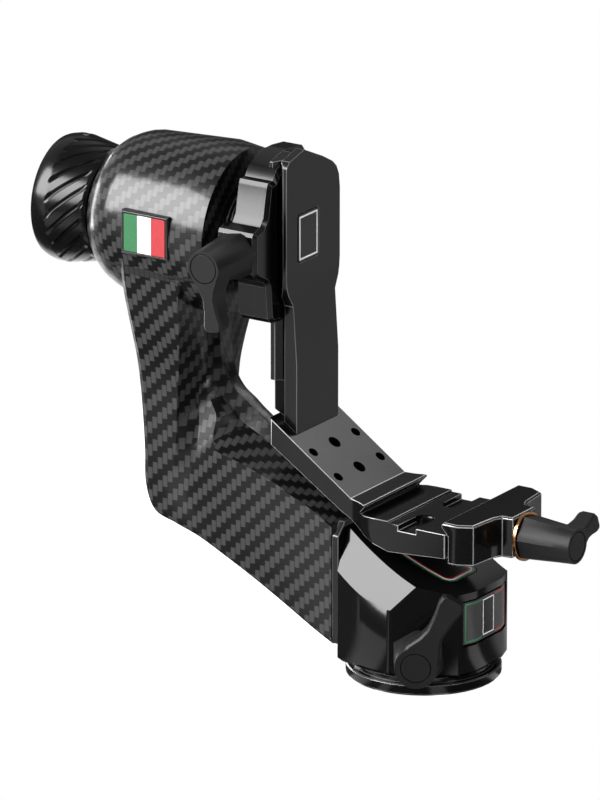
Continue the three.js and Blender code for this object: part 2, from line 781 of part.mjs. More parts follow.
addPart(panHead, 'flag_frame', flagFrame(), 'anodised');
addPart(panHead, 'flag_plate', flagPlate(), 'flag');

// Tilt axis: shaft on two bearings, a hub flange in front and a drag washer behind.
const tiltBearingInset = { front: 10.5, rear: 7.2 };
const tilt = {
  bearingWidth: 8,
  frontBearingX: barrelFrontX - tiltBearingInset.front,
  rearBearingX: barrelRearX + tiltBearingInset.rear,
  washerWidth: 6.2,
  hubRadius: 18.6,
  hubWidth: 6.2,
  hubStep: 1.2,
  stubRadius: 4.8,
  stubLength: 14,
};
const knobFrontX = barrelRearX - 2 * fit;

addPart(panHead, 'front_tilt_bearing', atTiltAxis(bearing(shaftRadius + fit / 2, boreRadius - fit,
  tilt.frontBearingX, tilt.frontBearingX + tilt.bearingWidth, X)), 'steel');
addPart(panHead, 'rear_tilt_bearing', atTiltAxis(bearing(shaftRadius + fit / 2, boreRadius - fit,
  tilt.rearBearingX, tilt.rearBearingX + tilt.bearingWidth, X)), 'steel');
addPart(panHead, 'drag_washer', atTiltAxis(ring(shaftRadius + fit, boreRadius - fit,
  tilt.rearBearingX - fit - tilt.washerWidth, tilt.rearBearingX - fit, X)), 'brass');

// Drag knob: slanted flutes on a cone behind a smooth rim.
const knob = {
  neckRadius: 22.3,
  rimWidth: 5,
  rimRadius: 24.6,
  fluteDepth: 1.5,
  flutes: 22,
  twist: 0.55,
  capRadius: 12,
  capDepth: 1.6,
};

function knobRing(x, radius, depth, turn) {
  const perFlute = 4;
  const count = knob.flutes * perFlute;
  const points = [];
  for (let i = 0; i < count; i += 1) {
    const angle = (2 * Math.PI * i) / count + turn;
    const wave = (i % perFlute) / perFlute;
    const groove = Math.max(0, Math.sin(Math.PI * Math.min(1, wave * 1.5))) ** 2;
    const here = radius - depth * groove;
    points.push(new THREE.Vector3(x, here * Math.cos(angle), here * Math.sin(angle)));
  }
  return points;
}

function dragKnob() {
  const length = knobFrontX - knobRearX;
  const edge = 0.05 * length;
  const rimEnd = knobRearX + knob.rimWidth;
  const rings = [
    knobRing(knobRearX, knob.rimRadius - edge, 0, 0),
    knobRing(knobRearX + edge, knob.rimRadius, 0, 0),
    knobRing(rimEnd, knobRadius, 0, 0),
  ];
  const steps = 4;
  for (let i = 0; i <= steps; i += 1) {
    const share = i / steps;
    const x = rimEnd + 0.2 * edge + (knobFrontX - edge - rimEnd - 0.2 * edge) * share;
    const radius = knobRadius + (knob.neckRadius - knobRadius) * share;
    const fade = Math.min(1, 6 * share + 0.25) * (share < 1 ? 1 : 0.7);
    rings.push(knobRing(x, radius, knob.fluteDepth * fade, knob.twist * share));
  }
  rings.push(knobRing(knobFrontX, knob.neckRadius - edge, 0, knob.twist));
  const bore = rod(tilt.stubRadius + fit, knobFrontX - tilt.stubLength, knobFrontX + overrun, X);
  const pocket = rod(knob.capRadius + fit, knobRearX - overrun, knobRearX + knob.capDepth, X);
  return atTiltAxis(cut(lofted(rings), bore, pocket));
}

const knobGroup = new THREE.Group();
panHead.add(knobGroup);
addPart(knobGroup, 'drag_knob', dragKnob(), 'anodised');
addPart(knobGroup, 'knob_end_cap',
  atTiltAxis(rod(knob.capRadius, knobRearX + 0.5 * fit, knobRearX + knob.capDepth - fit, X)), 'anodised');

// Tilting group: shaft and hub, then the dovetail carriage.
const tiltHead = new THREE.Group();
panHead.add(tiltHead);

function tiltShaft() {
  const rear = knobFrontX - tilt.stubLength + fit;
  const front = barrelFrontX + 2 * fit + tilt.hubWidth / 2;
  return atTiltAxis(turned([
    [0, rear],
    [tilt.stubRadius, rear],
    [tilt.stubRadius, tilt.rearBearingX - tilt.washerWidth + fit],
    [shaftRadius, tilt.rearBearingX - tilt.washerWidth + fit],
    [shaftRadius, front],
    [0, front],
  ], X));
}

const hubRearX = barrelFrontX + fit;
const hubFrontX = hubRearX + tilt.hubWidth;

function tiltHub() {
  const disc = turned([
    [0, hubRearX],
    [tilt.hubRadius + tilt.hubStep, hubRearX],
    [tilt.hubRadius + tilt.hubStep, hubRearX + 0.3 * tilt.hubWidth],
    [tilt.hubRadius, hubRearX + 0.45 * tilt.hubWidth],
    [tilt.hubRadius, hubFrontX],
    [0, hubFrontX],
  ], X);
  const seat = rod(shaftRadius + fit, hubRearX - overrun, barrelFrontX + 3 * fit + tilt.hubWidth / 2, X);
  return atTiltAxis(cut(disc, seat));
}

addPart(tiltHead, 'tilt_shaft', tiltShaft(), 'steel');
addPart(tiltHead, 'tilt_hub', tiltHub(), 'anodised');

// Carriage: lobes above and below a boss for the height lock, grooved for the swing arm's rail.
const carriage = {
  lobeBackX: -69.4,
  bossBackX: hubFrontX + fit,
  frontX: -55.4,
  chamfer: 1.5,
  reach: 33,
  bottomZ: 134.6,
  topZ: 199.4,
};

function carriageZ(share) {
  return carriage.bottomZ + share * (carriage.topZ - carriage.bottomZ);
}

const bossTopZ = carriageZ(0.608);
const bossBottomZ = carriageZ(0.3565);
// The front's outline on each side, from its lower edge up to the crest: shares of the reach
// and of the height. The far side has no boss and lies behind the swing arm's plate.
const carriageNearShares = [
  [0.442, 0], [0.624, 0.015], [0.679, 0.046], [0.715, 0.244], [0.764, 0.281], [0.958, 0.333],
  [1, 0.364], [1, 0.586], [0.976, 0.608], [0.836, 0.63], [0.764, 0.676], [0.697, 0.849],
  [0.667, 0.877], [0.57, 0.88], [0.485, 0.938], [0.406, 0.957], [0.152, 0.998], [0, 1],
];
const carriageFarShares = [
  [0.242, 0.988], [0.394, 0.895], [0.545, 0.84], [0.648, 0.793], [0.685, 0.747], [0.679, 0.046],
  [0.624, 0.015], [0.442, 0],
];
const rail = {
  neckHalf: 11.4,
  neckX: -54.7,
  shoulderX: -59.2,
  bodyX: -54.2,
  bottomZ: 110.6,
  lowSetback: 0.7,
  lowStep: 2.4,
};

function carriageOutline() {
  const place = (side) => ([across, height]) => [side * across * carriage.reach, carriageZ(height)];
  return outline(carriageNearShares.map(place(-1)).concat(carriageFarShares.map(place(1))));
}

// The rail's dovetail section in (x, y), grown by a clearance.
function railSection(grow) {
  return outline(mirrored([
    [railRearX - grow, railHalf + grow],
    [rail.shoulderX + grow / 2, railHalf + grow],
    [rail.neckX + grow / 2, rail.neckHalf + grow],
    [rail.bodyX + overrun, rail.neckHalf + grow],
  ]));
}

// Height lock: its axis runs along Y, behind the rail, and presses a gib against the rail.
const heightLock = {
  x: -64,
  z: carriageZ(0.469),
  screwRadius: 2.4,
  rootY: -carriage.reach - 2 * fit,
  gibRearX: -67,
  gibFrontX: -56.2,
  gibOuterY: -19.6,
  gibInnerY: -15.8,
  gibToeY: -13.4,
  gibBottomZ: carriageZ(0.33),
  gibTopZ: bossTopZ,
  gibTravel: 0.5,
};

function gibSection(grow, travel) {
  const { gibRearX, gibFrontX, gibOuterY, gibInnerY, gibToeY } = heightLock;
  return outline([
    [gibRearX - grow, gibOuterY - grow - travel],
    [gibFrontX + grow, gibOuterY - grow - travel],
    [gibFrontX + grow, gibToeY + grow + travel],
    [rail.shoulderX, gibInnerY + grow + travel],
    [gibRearX - grow, gibInnerY + grow + travel],
  ]);
}

function heightGib() {
  return prismZ(gibSection(0, 0), heightLock.gibBottomZ, heightLock.gibTopZ);
}

function heightScrewRod(radius, from, to) {
  return moved(rod(radius, from, to, Y, smallSides), heightLock.x, 0, heightLock.z);
}

function carriageBody() {
  const whole = extruded(carriageOutline(), carriage.frontX - carriage.bossBackX, carriage.chamfer,
    frameOf(Y, Z, X));
  const placed = moved(whole, carriage.bossBackX, 0, 0);
  const lobeCut = [
    block(carriage.bossBackX - overrun, carriage.lobeBackX, -2 * railHalf, 2 * railHalf, bossTopZ, armTopZ),
    block(carriage.bossBackX - overrun, carriage.lobeBackX, -2 * railHalf, 2 * railHalf, 0, bossBottomZ),
  ];
  const slot = prismZ(railSection(fit), 0, 2 * armTopZ);
  const gibPocket = prismZ(gibSection(fit, heightLock.gibTravel), heightLock.gibBottomZ - fit,
    heightLock.gibTopZ + fit);
  const bore = heightScrewRod(heightLock.screwRadius + fit, -2 * railHalf - plateHalf, heightLock.gibOuterY);
  return cut(placed, ...lobeCut, slot, gibPocket, bore);
}

const heightLever = {
  leverName: 'height_lock_lever',
  length: 22.4,
  rootRadius: 9.6,
  faceRadius: 6.9,
  armLength: 24.8,
  armThickness: 8.4,
  stubRadius: heightLock.screwRadius,
};

addPart(tiltHead, 'carriage', carriageBody(), 'anodised');
addPart(tiltHead, 'height_gib', heightGib(), 'brass');
addPart(tiltHead, 'height_clamp_screw', heightScrewRod(heightLock.screwRadius,
  heightLock.rootY - lever.stubDepth + fit, heightLock.gibOuterY - fit), 'steel');
placeLever(tiltHead, 'height', heightLever,
  new THREE.Vector3(heightLock.x, heightLock.rootY, heightLock.z), Y.clone().negate(),
  THREE.MathUtils.degToRad(-80));

// Swing arm: a wide plate with shoulders over a narrow shank, and the dovetail rail behind.
const swing = {
  shoulderZ: 147.5,
  shoulderRound: 6,
  kneeZ: 118,
  kneeX: -48.5,
  edgeChamfer: 2,
  peakY: -6.3,
  leftZ: 196.5,
  rightZ: 181,
};
const slope = { topX: -58.3, topZ: 97.2, rise: 0.697 };

function slopeZ(x) {
  return slope.topZ - (x - slope.topX) * slope.rise;
}

// Shares of the plate's half width and of the shoulder's round, then of each side's drop.
const shoulderShares = [[0.926, -0.2], [0.979, 0.3], [1, 1]];
const farCrownShares = [[1, 0], [0.963, 0.26], [0.872, 0.43], [0.723, 0.55], [0.372, 0.72]];
const nearCrownShares = [[0.872, 0.545], [0.963, 0.255], [1, 0]];

function swingFront() {
  const { shoulderZ, shoulderRound, peakY, leftZ, rightZ } = swing;
  const shoulder = (side) => shoulderShares.map(([across, up]) => (
    [side * across * plateHalf, shoulderZ + up * shoulderRound]));
  const crown = (shares, side, low) => shares.map(([across, up]) => (
    [side * across * plateHalf, low + up * (armTopZ - low)]));
  return outline([
    [-shankHalf, 0],
    [shankHalf, 0],
    [shankHalf, shoulderZ - shoulderRound],
    ...shoulder(1),
    ...crown(farCrownShares, 1, rightZ),
    [peakY, armTopZ],
    ...crown(nearCrownShares, -1, leftZ),
    ...shoulder(-1).reverse(),
    [-shankHalf, shoulderZ - shoulderRound],
  ]);
}

function platePlan() {
  return outline(mirrored([
    [rail.bodyX - overrun, plateHalf - swing.edgeChamfer - overrun],
    [rail.bodyX + swing.edgeChamfer, plateHalf],
    [swing.kneeX + overrun, plateHalf],
  ]));
}

function swingArm() {
  const { shoulderZ, kneeZ, kneeX } = swing;
  const side = outline([
    [rail.bodyX, armTopZ + overrun],
    [rail.bodyX, slopeZ(rail.bodyX) + fit],
    [kneeX, slopeZ(kneeX) + fit],
    [kneeX, kneeZ],
    [plateFrontX, shoulderZ + 2 * overrun],
    [plateFrontX, armTopZ + overrun],
  ]);
  const front = prismX(swingFront(), rail.bodyX - overrun, kneeX + overrun)
    .intersect(prismY(side, -2 * plateHalf, 2 * plateHalf))
    .intersect(prismZ(platePlan(), 0, 2 * armTopZ));
  const bar = prismZ(outline(mirrored([
    [railRearX, railHalf],
    [rail.shoulderX, railHalf],
    [rail.neckX, rail.neckHalf],
    [rail.bodyX + overrun, rail.neckHalf],
  ])), rail.bottomZ, armTopZ)
    .intersect(moved(prismX(swingFront(), railRearX - overrun, 0), 0, 0, -2 * overrun));
  const lowBar = prismZ(outline(mirrored([
    [railRearX + rail.lowSetback, railHalf - rail.lowStep],
    [rail.shoulderX, railHalf - rail.lowStep],
    [rail.neckX, rail.neckHalf],
    [rail.bodyX + overrun, rail.neckHalf],
  ])), 0, rail.bottomZ + overrun);
  const foot = prismY(outline([
    [railRearX - overrun, slopeZ(railRearX - overrun) + fit],
    [0, slopeZ(0) + fit],
    [0, 0],
    [railRearX - overrun, 0],
  ]), -2 * plateHalf, 2 * plateHalf);
  const rear = cut(join(bar, lowBar), foot);
  return cut(join(front, rear), badgeSeat(fit));
}

// Bare label plate on the front, and the camera cradle with its sloping bridge.
const armBadge = {
  width: 14.3,
  height: 19,
  y: -3.7,
  belowTop: 34.6,
  depth: 0.8,
  corner: 1,
};

function badgeSeat(grow) {
  const { width, height, y, depth, corner } = armBadge;
  const z = armTopZ - armBadge.belowTop;
  const [w, h] = [width / 2 + grow, height / 2 + grow];
  return prismX(outline([
    [y - w + corner, z - h], [y + w - corner, z - h], [y + w, z - h + corner], [y + w, z + h - corner],
    [y + w - corner, z + h], [y - w + corner, z + h], [y - w, z + h - corner], [y - w, z - h + corner],
  ]), plateFrontX - depth, grow > 0 ? plateFrontX + overrun : plateFrontX);
}

const swingGroup = new THREE.Group();
tiltHead.add(swingGroup);
addPart(swingGroup, 'swing_arm', swingArm(), 'anodised');
addPart(swingGroup, 'arm_badge', moved(badgeSeat(0), fit / 2, 0, 0), 'badge');

const cradle = {
  rearX: -58.3,
  rearBottomZ: 86.9,
  rearHalf: 19.3,
  slopeEndX: -21,
  lipX: -12.9,
  lipZ: 70.7,
  undercut: 2.7,
  undercutRise: 0.6,
  lipRound: 0.8,
  lipFlat: 0.3,
  endRound: 1.2,
  rearRound: 1,
  flareRun: 4,
  flareStep: 1.2,
  flareRest: 0.4,
  cornerRound: 1.5,
  holeReach: 20,
  floorZ: 66.5,
  floorRearX: -15.4,
  stepX: -2,
  stepDepth: 0.8,
  bellyX: -26,
  bellyZ: 65.6,
  sweepX: -9,
  sweepZ: 56.4,
  keelX: -2,
  keelZ: 54.2,
  endBottomZ: 56,
  slotRear: 2.6,
  slotFront: 10.6,
  slotInner: 6,
  slotDepth: 2.2,
  holeLarge: 2.7,
  holeSmall: 2.1,
  holeRowA: -40.8,
  holeRowB: -29.5,
  holeY: 14.9,
  pinRadius: 2.2,
  pinY: 16.5,
  pinZ: 61,
  pinRearX: 8,
  pinFrontX: 31,
  pinTravel: 3.4,
  screwRadius: 1.9,
  screwRearX: 12,
  holeRearX: 8.7,
};

function cradleSide() {
  return outline([
    [cradle.rearX, slope.topZ],
    [cradle.rearX, cradle.rearBottomZ],
    [cradle.bellyX, cradle.bellyZ],
    [cradle.sweepX, cradle.sweepZ],
    [cradle.keelX, cradle.keelZ],
    [cradleEndX - cradle.endRound, cradle.endBottomZ],
    [cradleEndX, cradle.endBottomZ + cradle.endRound],
    [cradleEndX, cradle.floorZ - cradle.stepDepth],
    [cradle.stepX, cradle.floorZ - cradle.stepDepth],
    [cradle.stepX, cradle.floorZ],
    [cradle.floorRearX, cradle.floorZ],
    [cradle.lipX - cradle.undercut, cradle.floorZ + cradle.undercutRise],
    [cradle.lipX, cradle.lipZ - cradle.lipRound],
    [cradle.lipX - cradle.lipFlat, cradle.lipZ],
    [cradle.slopeEndX, slopeZ(cradle.slopeEndX)],
  ]);
}

function cradlePlan() {
  const { rearX, rearHalf, rearRound, slopeEndX, lipX, cornerRound } = cradle;
  const { flareRun, flareStep, flareRest } = cradle;
  return outline(mirrored([
    [rearX, rearHalf - rearRound],
    [rearX + rearRound, rearHalf],
    [slopeEndX, rearHalf],
    [slopeEndX + flareRun, rearHalf + flareStep],
    [lipX, cradleHalf - flareRest],
    [lipX + flareRun, cradleHalf],
    [cradleEndX - cornerRound, cradleHalf],
    [cradleEndX, cradleHalf - cornerRound],
  ]));
}

function cradleHoles() {
  const across = new THREE.Vector3(slope.rise, 0, 1).normalize();
  const tools = [];
  for (const x of [cradle.holeRowA, cradle.holeRowB]) {
    for (const side of [-1, 0, 1]) {
      const radius = side === 0 ? cradle.holeLarge : cradle.holeSmall;
      const tool = rod(radius, -cradle.holeReach, cradle.holeReach, Z, smallSides);
      const turn = new THREE.Quaternion().setFromUnitVectors(Z, across);
      const place = new THREE.Vector3(x, side * cradle.holeY, slopeZ(x));
      const matrix = new THREE.Matrix4().compose(place, turn, new THREE.Vector3(1, 1, 1));
      tools.push(tool.transform(matrix.toArray()));
    }
  }
  return tools;
}

function slotTool(side) {
  const half = (cradle.slotFront - cradle.slotRear) / 2;
  const middle = (cradle.slotFront + cradle.slotRear) / 2;
  const run = new THREE.Shape();
  run.moveTo(cradle.slotFront, side * (cradle.slotInner + half));
  run.absarc(middle, side * (cradle.slotInner + half), half, 0, side * Math.PI, side > 0);
  run.lineTo(cradle.slotRear, side * 2 * cradleHalf);
  run.lineTo(cradle.slotFront, side * 2 * cradleHalf);
  return prismZ(run, cradle.floorZ - cradle.stepDepth - cradle.slotDepth, cradle.floorZ + overrun);
}

function cradleBody() {
  const blank = prismY(cradleSide(), -cradleHalf - overrun, cradleHalf + overrun)
    .intersect(prismZ(cradlePlan(), 0, tiltAxisZ));
  const bores = [
    moved(rod(cradle.screwRadius + fit, cradle.holeRearX, cradleEndX + overrun, X, smallSides),
      0, 0, clampAxisZ),
  ];
  for (const side of [-1, 1]) {
    bores.push(moved(rod(cradle.pinRadius + fit, cradle.pinRearX - fit, cradleEndX + overrun, X, smallSides),
      0, side * cradle.pinY, cradle.pinZ));
    bores.push(slotTool(side));
  }
  return cut(blank, ...bores, ...cradleHoles());
}

addPart(swingGroup, 'cradle', cradleBody(), 'anodised');
for (const [name, side] of [['near_guide_pin', -1], ['far_guide_pin', 1]]) {
  addPart(swingGroup, name, moved(rod(cradle.pinRadius, cradle.pinRearX, cradle.pinFrontX, X, smallSides),
    0, side * cradle.pinY, cradle.pinZ), 'steel');
}

// Moving clamp jaw: wings, scallops and a boss, with a lip that overhangs the camera plate.
const jaw = {
  bottomZ: 55.8,
  topZ: 72.2,
  wingFrontX: 32,
  wingCornerX: 37.5,
  wingCornerHalf: 24.5,
  scallopX: 38.4,
  scallopHalf: 11.5,
  bossX: 45,
  bossHalf: 8.2,
  lipX: 25,
  lipUnderZ: 67,
  lipTopZ: 71.1,
  chamfer: 0.7,
  lipRound: 0.4,
  lipEdge: 0.8,
  lipRun: 1.2,
  scallopRun: 4,
  scallopStep: 0.6,
  neckRun: 2.1,
  neckFlare: 0.5,
};
const jawRearX = cradleEndX + jawOpening;

function jawPlan() {
  const plan = new THREE.Shape();
  const half = [
    [jaw.lipX - jaw.lipRound, jawHalf],
    [jaw.wingFrontX, jawHalf],
    [jaw.wingCornerX, jaw.wingCornerHalf],
    [jaw.scallopX, jaw.scallopHalf + jaw.scallopRun],
    [jaw.scallopX + jaw.scallopStep, jaw.scallopHalf],
    [jaw.scallopX + jaw.neckRun, jaw.bossHalf + jaw.neckFlare],
    [jaw.bossX, jaw.bossHalf],
  ];
  plan.setFromPoints(mirrored(half).map(([x, y]) => new THREE.Vector2(x, y)));
  return plan;
}

function clampJaw() {
  const side = outline([
    [jawRearX, jaw.bottomZ - overrun],
    [jawRearX, jaw.lipUnderZ],
    [jaw.lipX, jaw.lipTopZ - jaw.lipEdge],
    [jaw.lipX, jaw.lipTopZ],
    [jaw.lipX + jaw.lipRun, jaw.topZ + jaw.lipEdge],
    [jaw.bossX + overrun, jaw.topZ + jaw.lipEdge],
    [jaw.bossX + overrun, jaw.bottomZ - overrun],
  ]);
  const body = prismZ(jawPlan(), jaw.bottomZ, jaw.topZ, jaw.chamfer)
    .intersect(prismY(side, -2 * jawHalf, 2 * jawHalf));
  const screwBore = rod(cradle.screwRadius + fit, 0, jaw.bossX + overrun, X, smallSides);
  const bores = [moved(screwBore, 0, 0, clampAxisZ)];
  for (const side1 of [-1, 1]) {
    bores.push(moved(rod(cradle.pinRadius + fit, 0, cradle.pinFrontX + cradle.pinTravel, X, smallSides),
      0, side1 * cradle.pinY, cradle.pinZ));
  }
  return cut(body, ...bores);
}

const clampLever = {
  leverName: 'clamp_lever',
  length: 21.5,
  rootRadius: 9.4,
  faceRadius: 6.9,
  armLength: 16.5,
  armThickness: 9,
  stubRadius: cradle.screwRadius,
  washerRadius: 9.6,
  washerWidth: 1.5,
};
const clampRootX = jaw.bossX + 2 * fit + clampLever.washerWidth;

addPart(swingGroup, 'clamp_jaw', clampJaw(), 'anodised');
addPart(swingGroup, 'clamp_washer', moved(ring(cradle.screwRadius + fit, clampLever.washerRadius,
  jaw.bossX + fit, jaw.bossX + fit + clampLever.washerWidth, X), 0, 0, clampAxisZ), 'brass');
addPart(swingGroup, 'clamp_screw', moved(rod(cradle.screwRadius, cradle.screwRearX,
  clampRootX + lever.stubDepth - fit, X, smallSides), 0, 0, clampAxisZ), 'steel');
placeLever(swingGroup, 'clamp', clampLever, new THREE.Vector3(clampRootX, 0, clampAxisZ), X,
  THREE.MathUtils.degToRad(21));

export default head;
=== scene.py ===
# %% [markdown]
# # A gimbal tripod head
#
# A gimbal head carries a long lens so that it balances about its own middle. A housing turns on
# the tripod, a moulded carbon arm rises from it to a barrel, and from the barrel's hub hangs a
# swing arm with a quick-release clamp for the lens's foot.
#
# The solids come packed as the frame, and this notebook dresses them. Some keep their own mesh
# and get a finish, some are copied and bevelled, and the knob, the trim and the carbon arm are
# modelled afresh. Lengths in the tables are millimetres, because that is how a machinist would
# write them, and `MM` turns them into Blender's metres.

import json
import math

import bmesh
import bpy
from mathutils import Matrix, Vector


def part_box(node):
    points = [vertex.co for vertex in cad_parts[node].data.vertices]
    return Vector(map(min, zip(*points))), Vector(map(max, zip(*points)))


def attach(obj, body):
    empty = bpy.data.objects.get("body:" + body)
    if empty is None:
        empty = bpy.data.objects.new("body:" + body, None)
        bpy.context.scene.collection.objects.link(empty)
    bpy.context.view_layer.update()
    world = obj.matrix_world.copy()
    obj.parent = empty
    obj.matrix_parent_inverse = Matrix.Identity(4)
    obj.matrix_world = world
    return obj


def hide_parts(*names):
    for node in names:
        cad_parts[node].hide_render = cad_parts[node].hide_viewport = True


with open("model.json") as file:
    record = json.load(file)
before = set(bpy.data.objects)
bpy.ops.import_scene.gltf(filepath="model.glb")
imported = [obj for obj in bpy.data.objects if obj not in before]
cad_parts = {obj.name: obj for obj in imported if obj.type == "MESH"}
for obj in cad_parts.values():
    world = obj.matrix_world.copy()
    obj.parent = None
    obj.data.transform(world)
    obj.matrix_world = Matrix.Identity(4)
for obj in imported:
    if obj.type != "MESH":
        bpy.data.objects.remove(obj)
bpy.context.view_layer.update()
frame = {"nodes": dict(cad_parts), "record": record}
nodes = frame["nodes"]
MM = 0.001
body_of = {
    node: name for name, group in frame["record"]["behaviour"]["bodies"].items() for node in group
}

# %% [markdown]
# ## The camera
#
# A product picture is taken from far off with a long lens, so that upright edges stay parallel.
# A camera could be turned until it looks right, but here its place is worked out: it looks from
# 33 degrees round and 18 degrees up, and at the object's depth one millimetre is about 2.61
# pixels of a picture 600 wide and 800 high. `ORIGIN_AT` is the pixel where the foot's middle lands.

# %% The camera
PICTURE_WIDTH, PICTURE_HEIGHT = 600, 800
PIXELS_PER_MM = 2.611
ORIGIN_AT = (424, 671)
OBJECT_DEPTH = 10
CAMERA_DISTANCE = 4000
SENSOR = 36
NEAREST, FARTHEST = 0.05, 20

back = Vector((0.518, -0.798, 0.309)).normalized()
up = back.cross(Vector((0.8387, 0.5446, 0.0)).normalized()).normalized()
right = up.cross(back).normalized()


def put_in_scene(name, data):
    thing = bpy.data.objects.new(name, data)
    bpy.context.scene.collection.objects.link(thing)
    return thing


def add_camera():
    across = (PICTURE_WIDTH / 2 - ORIGIN_AT[0]) / PIXELS_PER_MM
    above = (ORIGIN_AT[1] - PICTURE_HEIGHT / 2) / PIXELS_PER_MM
    place = right * across + up * above + back * (OBJECT_DEPTH + CAMERA_DISTANCE)
    data = bpy.data.cameras.new("camera")
    data.sensor_width = SENSOR
    data.lens = SENSOR * CAMERA_DISTANCE * PIXELS_PER_MM / PICTURE_HEIGHT
    data.clip_start, data.clip_end = NEAREST, FARTHEST
    camera = put_in_scene("camera", data)
    turn = Matrix((right, up, back)).transposed().to_4x4()
    camera.matrix_world = Matrix.Translation(place * MM) @ turn
    bpy.context.scene.camera = camera
    return camera


camera = add_camera()
print("lens", round(camera.data.lens, 1))

# %% [markdown]
# ## Shader arithmetic
#
# Every finish below is a handful of sums on noise, coordinates and attributes. In the editor each
# sum is a Math node that is dragged in and wired by hand. Here a small class wraps a socket and
# overloads the operators, so that `1 - mask` adds its node by itself and a pattern reads as a
# formula.


# %% Wires
class Wire:
    """A socket that can be added, multiplied and compared."""

    def __init__(self, board, socket):
        self.board, self.socket = board, socket

    def math(self, operation, *others):
        return self.board.math(operation, self, *others)

    def __add__(self, other):
        return self.math("ADD", other)

    def __sub__(self, other):
        return self.math("SUBTRACT", other)

    def __rsub__(self, other):
        return self.board.math("SUBTRACT", other, self)

    def __mul__(self, other):
        return self.math("MULTIPLY", other)

    def __truediv__(self, other):
        return self.math("DIVIDE", other)

    def __rtruediv__(self, other):
        return self.board.math("DIVIDE", other, self)

    __radd__, __rmul__ = __add__, __mul__

    def above(self, edge):
        return self.math("GREATER_THAN", edge)

    def below(self, edge):
        return self.math("LESS_THAN", edge)

    def within(self, low, high):
        return self.above(low) * self.below(high)

    def absolute(self):
        return self.math("ABSOLUTE")

    def power(self, exponent):
        return self.math("POWER", exponent)

    def spread(self, low, high, to_low=0.0, to_high=1.0):
        """The stretch from low to high, laid out from to_low to to_high."""
        return self.board.wire("ShaderNodeMapRange", sockets={
            "Value": self, "From Min": low, "From Max": high, "To Min": to_low, "To Max": to_high,
        })


def either(first, second):
    return first.math("MAXIMUM", second)


print("operators ready", [name for name in vars(Wire) if name.startswith("__r")])

# %% [markdown]
# ## Boards and finishes
#
# A board is a node tree. One method, `node`, lays out any kind of node: it sets the node's own
# settings, then gives each socket a value or a link. A finish is a board with a Principled shader
# and the piece's own coordinates, so that a pattern stays on its piece when the piece moves.


# %% Boards
class Board:
    def __init__(self, tree):
        self.tree = tree

    def feed(self, socket, value):
        if isinstance(value, Wire):
            self.tree.links.new(value.socket, socket)
        else:
            socket.default_value = value

    def node(self, kind, settings=None, sockets=None):
        node = self.tree.nodes.new(kind)
        for name, value in (settings or {}).items():
            setattr(node, name, value)
        for socket, value in (sockets or {}).items():
            self.feed(node.inputs[socket], value)
        return node

    def wire(self, kind, settings=None, sockets=None, output=0):
        return Wire(self, self.node(kind, settings, sockets).outputs[output])

    def wires(self, kind, sockets=None):
        return [Wire(self, socket) for socket in self.node(kind, sockets=sockets).outputs]

    def math(self, operation, *values):
        return self.wire("ShaderNodeMath", {"operation": operation}, dict(enumerate(values)))

    def blend(self, factor, first, second):
        """Two shaders, mixed and sent to the output."""
        mixed = self.wire("ShaderNodeMixShader", sockets={0: factor, 1: first, 2: second})
        ends = [n for n in self.tree.nodes if n.type.startswith("OUTPUT")]
        self.feed(ends[0].inputs[0], mixed)


print("boards ready")

# %% Finishes
NOISE_DETAIL = 2.0
MIX_FIRST, MIX_SECOND, MIX_RESULT = 6, 7, 2


class Finish(Board):
    """A material under construction: its shader, its coordinates and its patterns."""

    def __init__(self, name, **constants):
        self.material = bpy.data.materials.new(name)
        self.material.use_nodes = True
        super().__init__(self.material.node_tree)
        self.shader = self.tree.nodes["Principled BSDF"]
        for socket, value in constants.items():
            self.send(socket.replace("_", " "), value)
        self.coordinates = self.wire("ShaderNodeTexCoord", output="Object")

    def send(self, socket, value):
        self.feed(self.shader.inputs[socket], value)

    def axes(self):
        parts = self.wires("ShaderNodeSeparateXYZ", {0: self.coordinates})
        return [part / MM for part in parts]

    def attribute(self, name):
        return self.wire("ShaderNodeAttribute", {"attribute_name": name}, output="Fac")

    def noise(self, per_mm, stretch=(1, 1, 1), roughness=0.5):
        scale = [share * per_mm / MM for share in stretch]
        scaled = self.wire(
            "ShaderNodeMapping", sockets={"Vector": self.coordinates, "Scale": scale}
        )
        return self.wire("ShaderNodeTexNoise", sockets={
            "Vector": scaled, "Scale": 1.0, "Detail": NOISE_DETAIL, "Roughness": roughness,
        }, output="Fac")

    def mix(self, factor, first, second):
        """A colour between two, which a Math node would turn grey."""
        first, second = (c if isinstance(c, Wire) else (*c, 1.0) for c in (first, second))
        sockets = {0: factor, MIX_FIRST: first, MIX_SECOND: second}
        return self.wire("ShaderNodeMix", {"data_type": "RGBA"}, sockets, MIX_RESULT)

    def bump(self, height, distance, strength):
        self.send("Normal", self.wire("ShaderNodeBump", sockets={
            "Height": height, "Distance": distance * MM, "Strength": strength,
        }))


print("noise detail", NOISE_DETAIL)

# %% [markdown]
# ## Anodised metal
#
# The housing, the carriage, the swing arm and the clamp are aluminium, milled and then anodised
# black. Anodising is a clear, dyed skin: it has almost no colour of its own, and what shows is
# its soft gloss. A metallic shader with a black base would lose that gloss, so the skin is made
# as a dark, glossy non-metal, with a fine grain. The milled edges are painted pale and a little
# metallic, a painted highlight along them. The `edge` attribute, which the bevelling cell writes
# further down, says where.


# %% Anodised metal
def grey(level):
    return (level, level, level * 1.01)


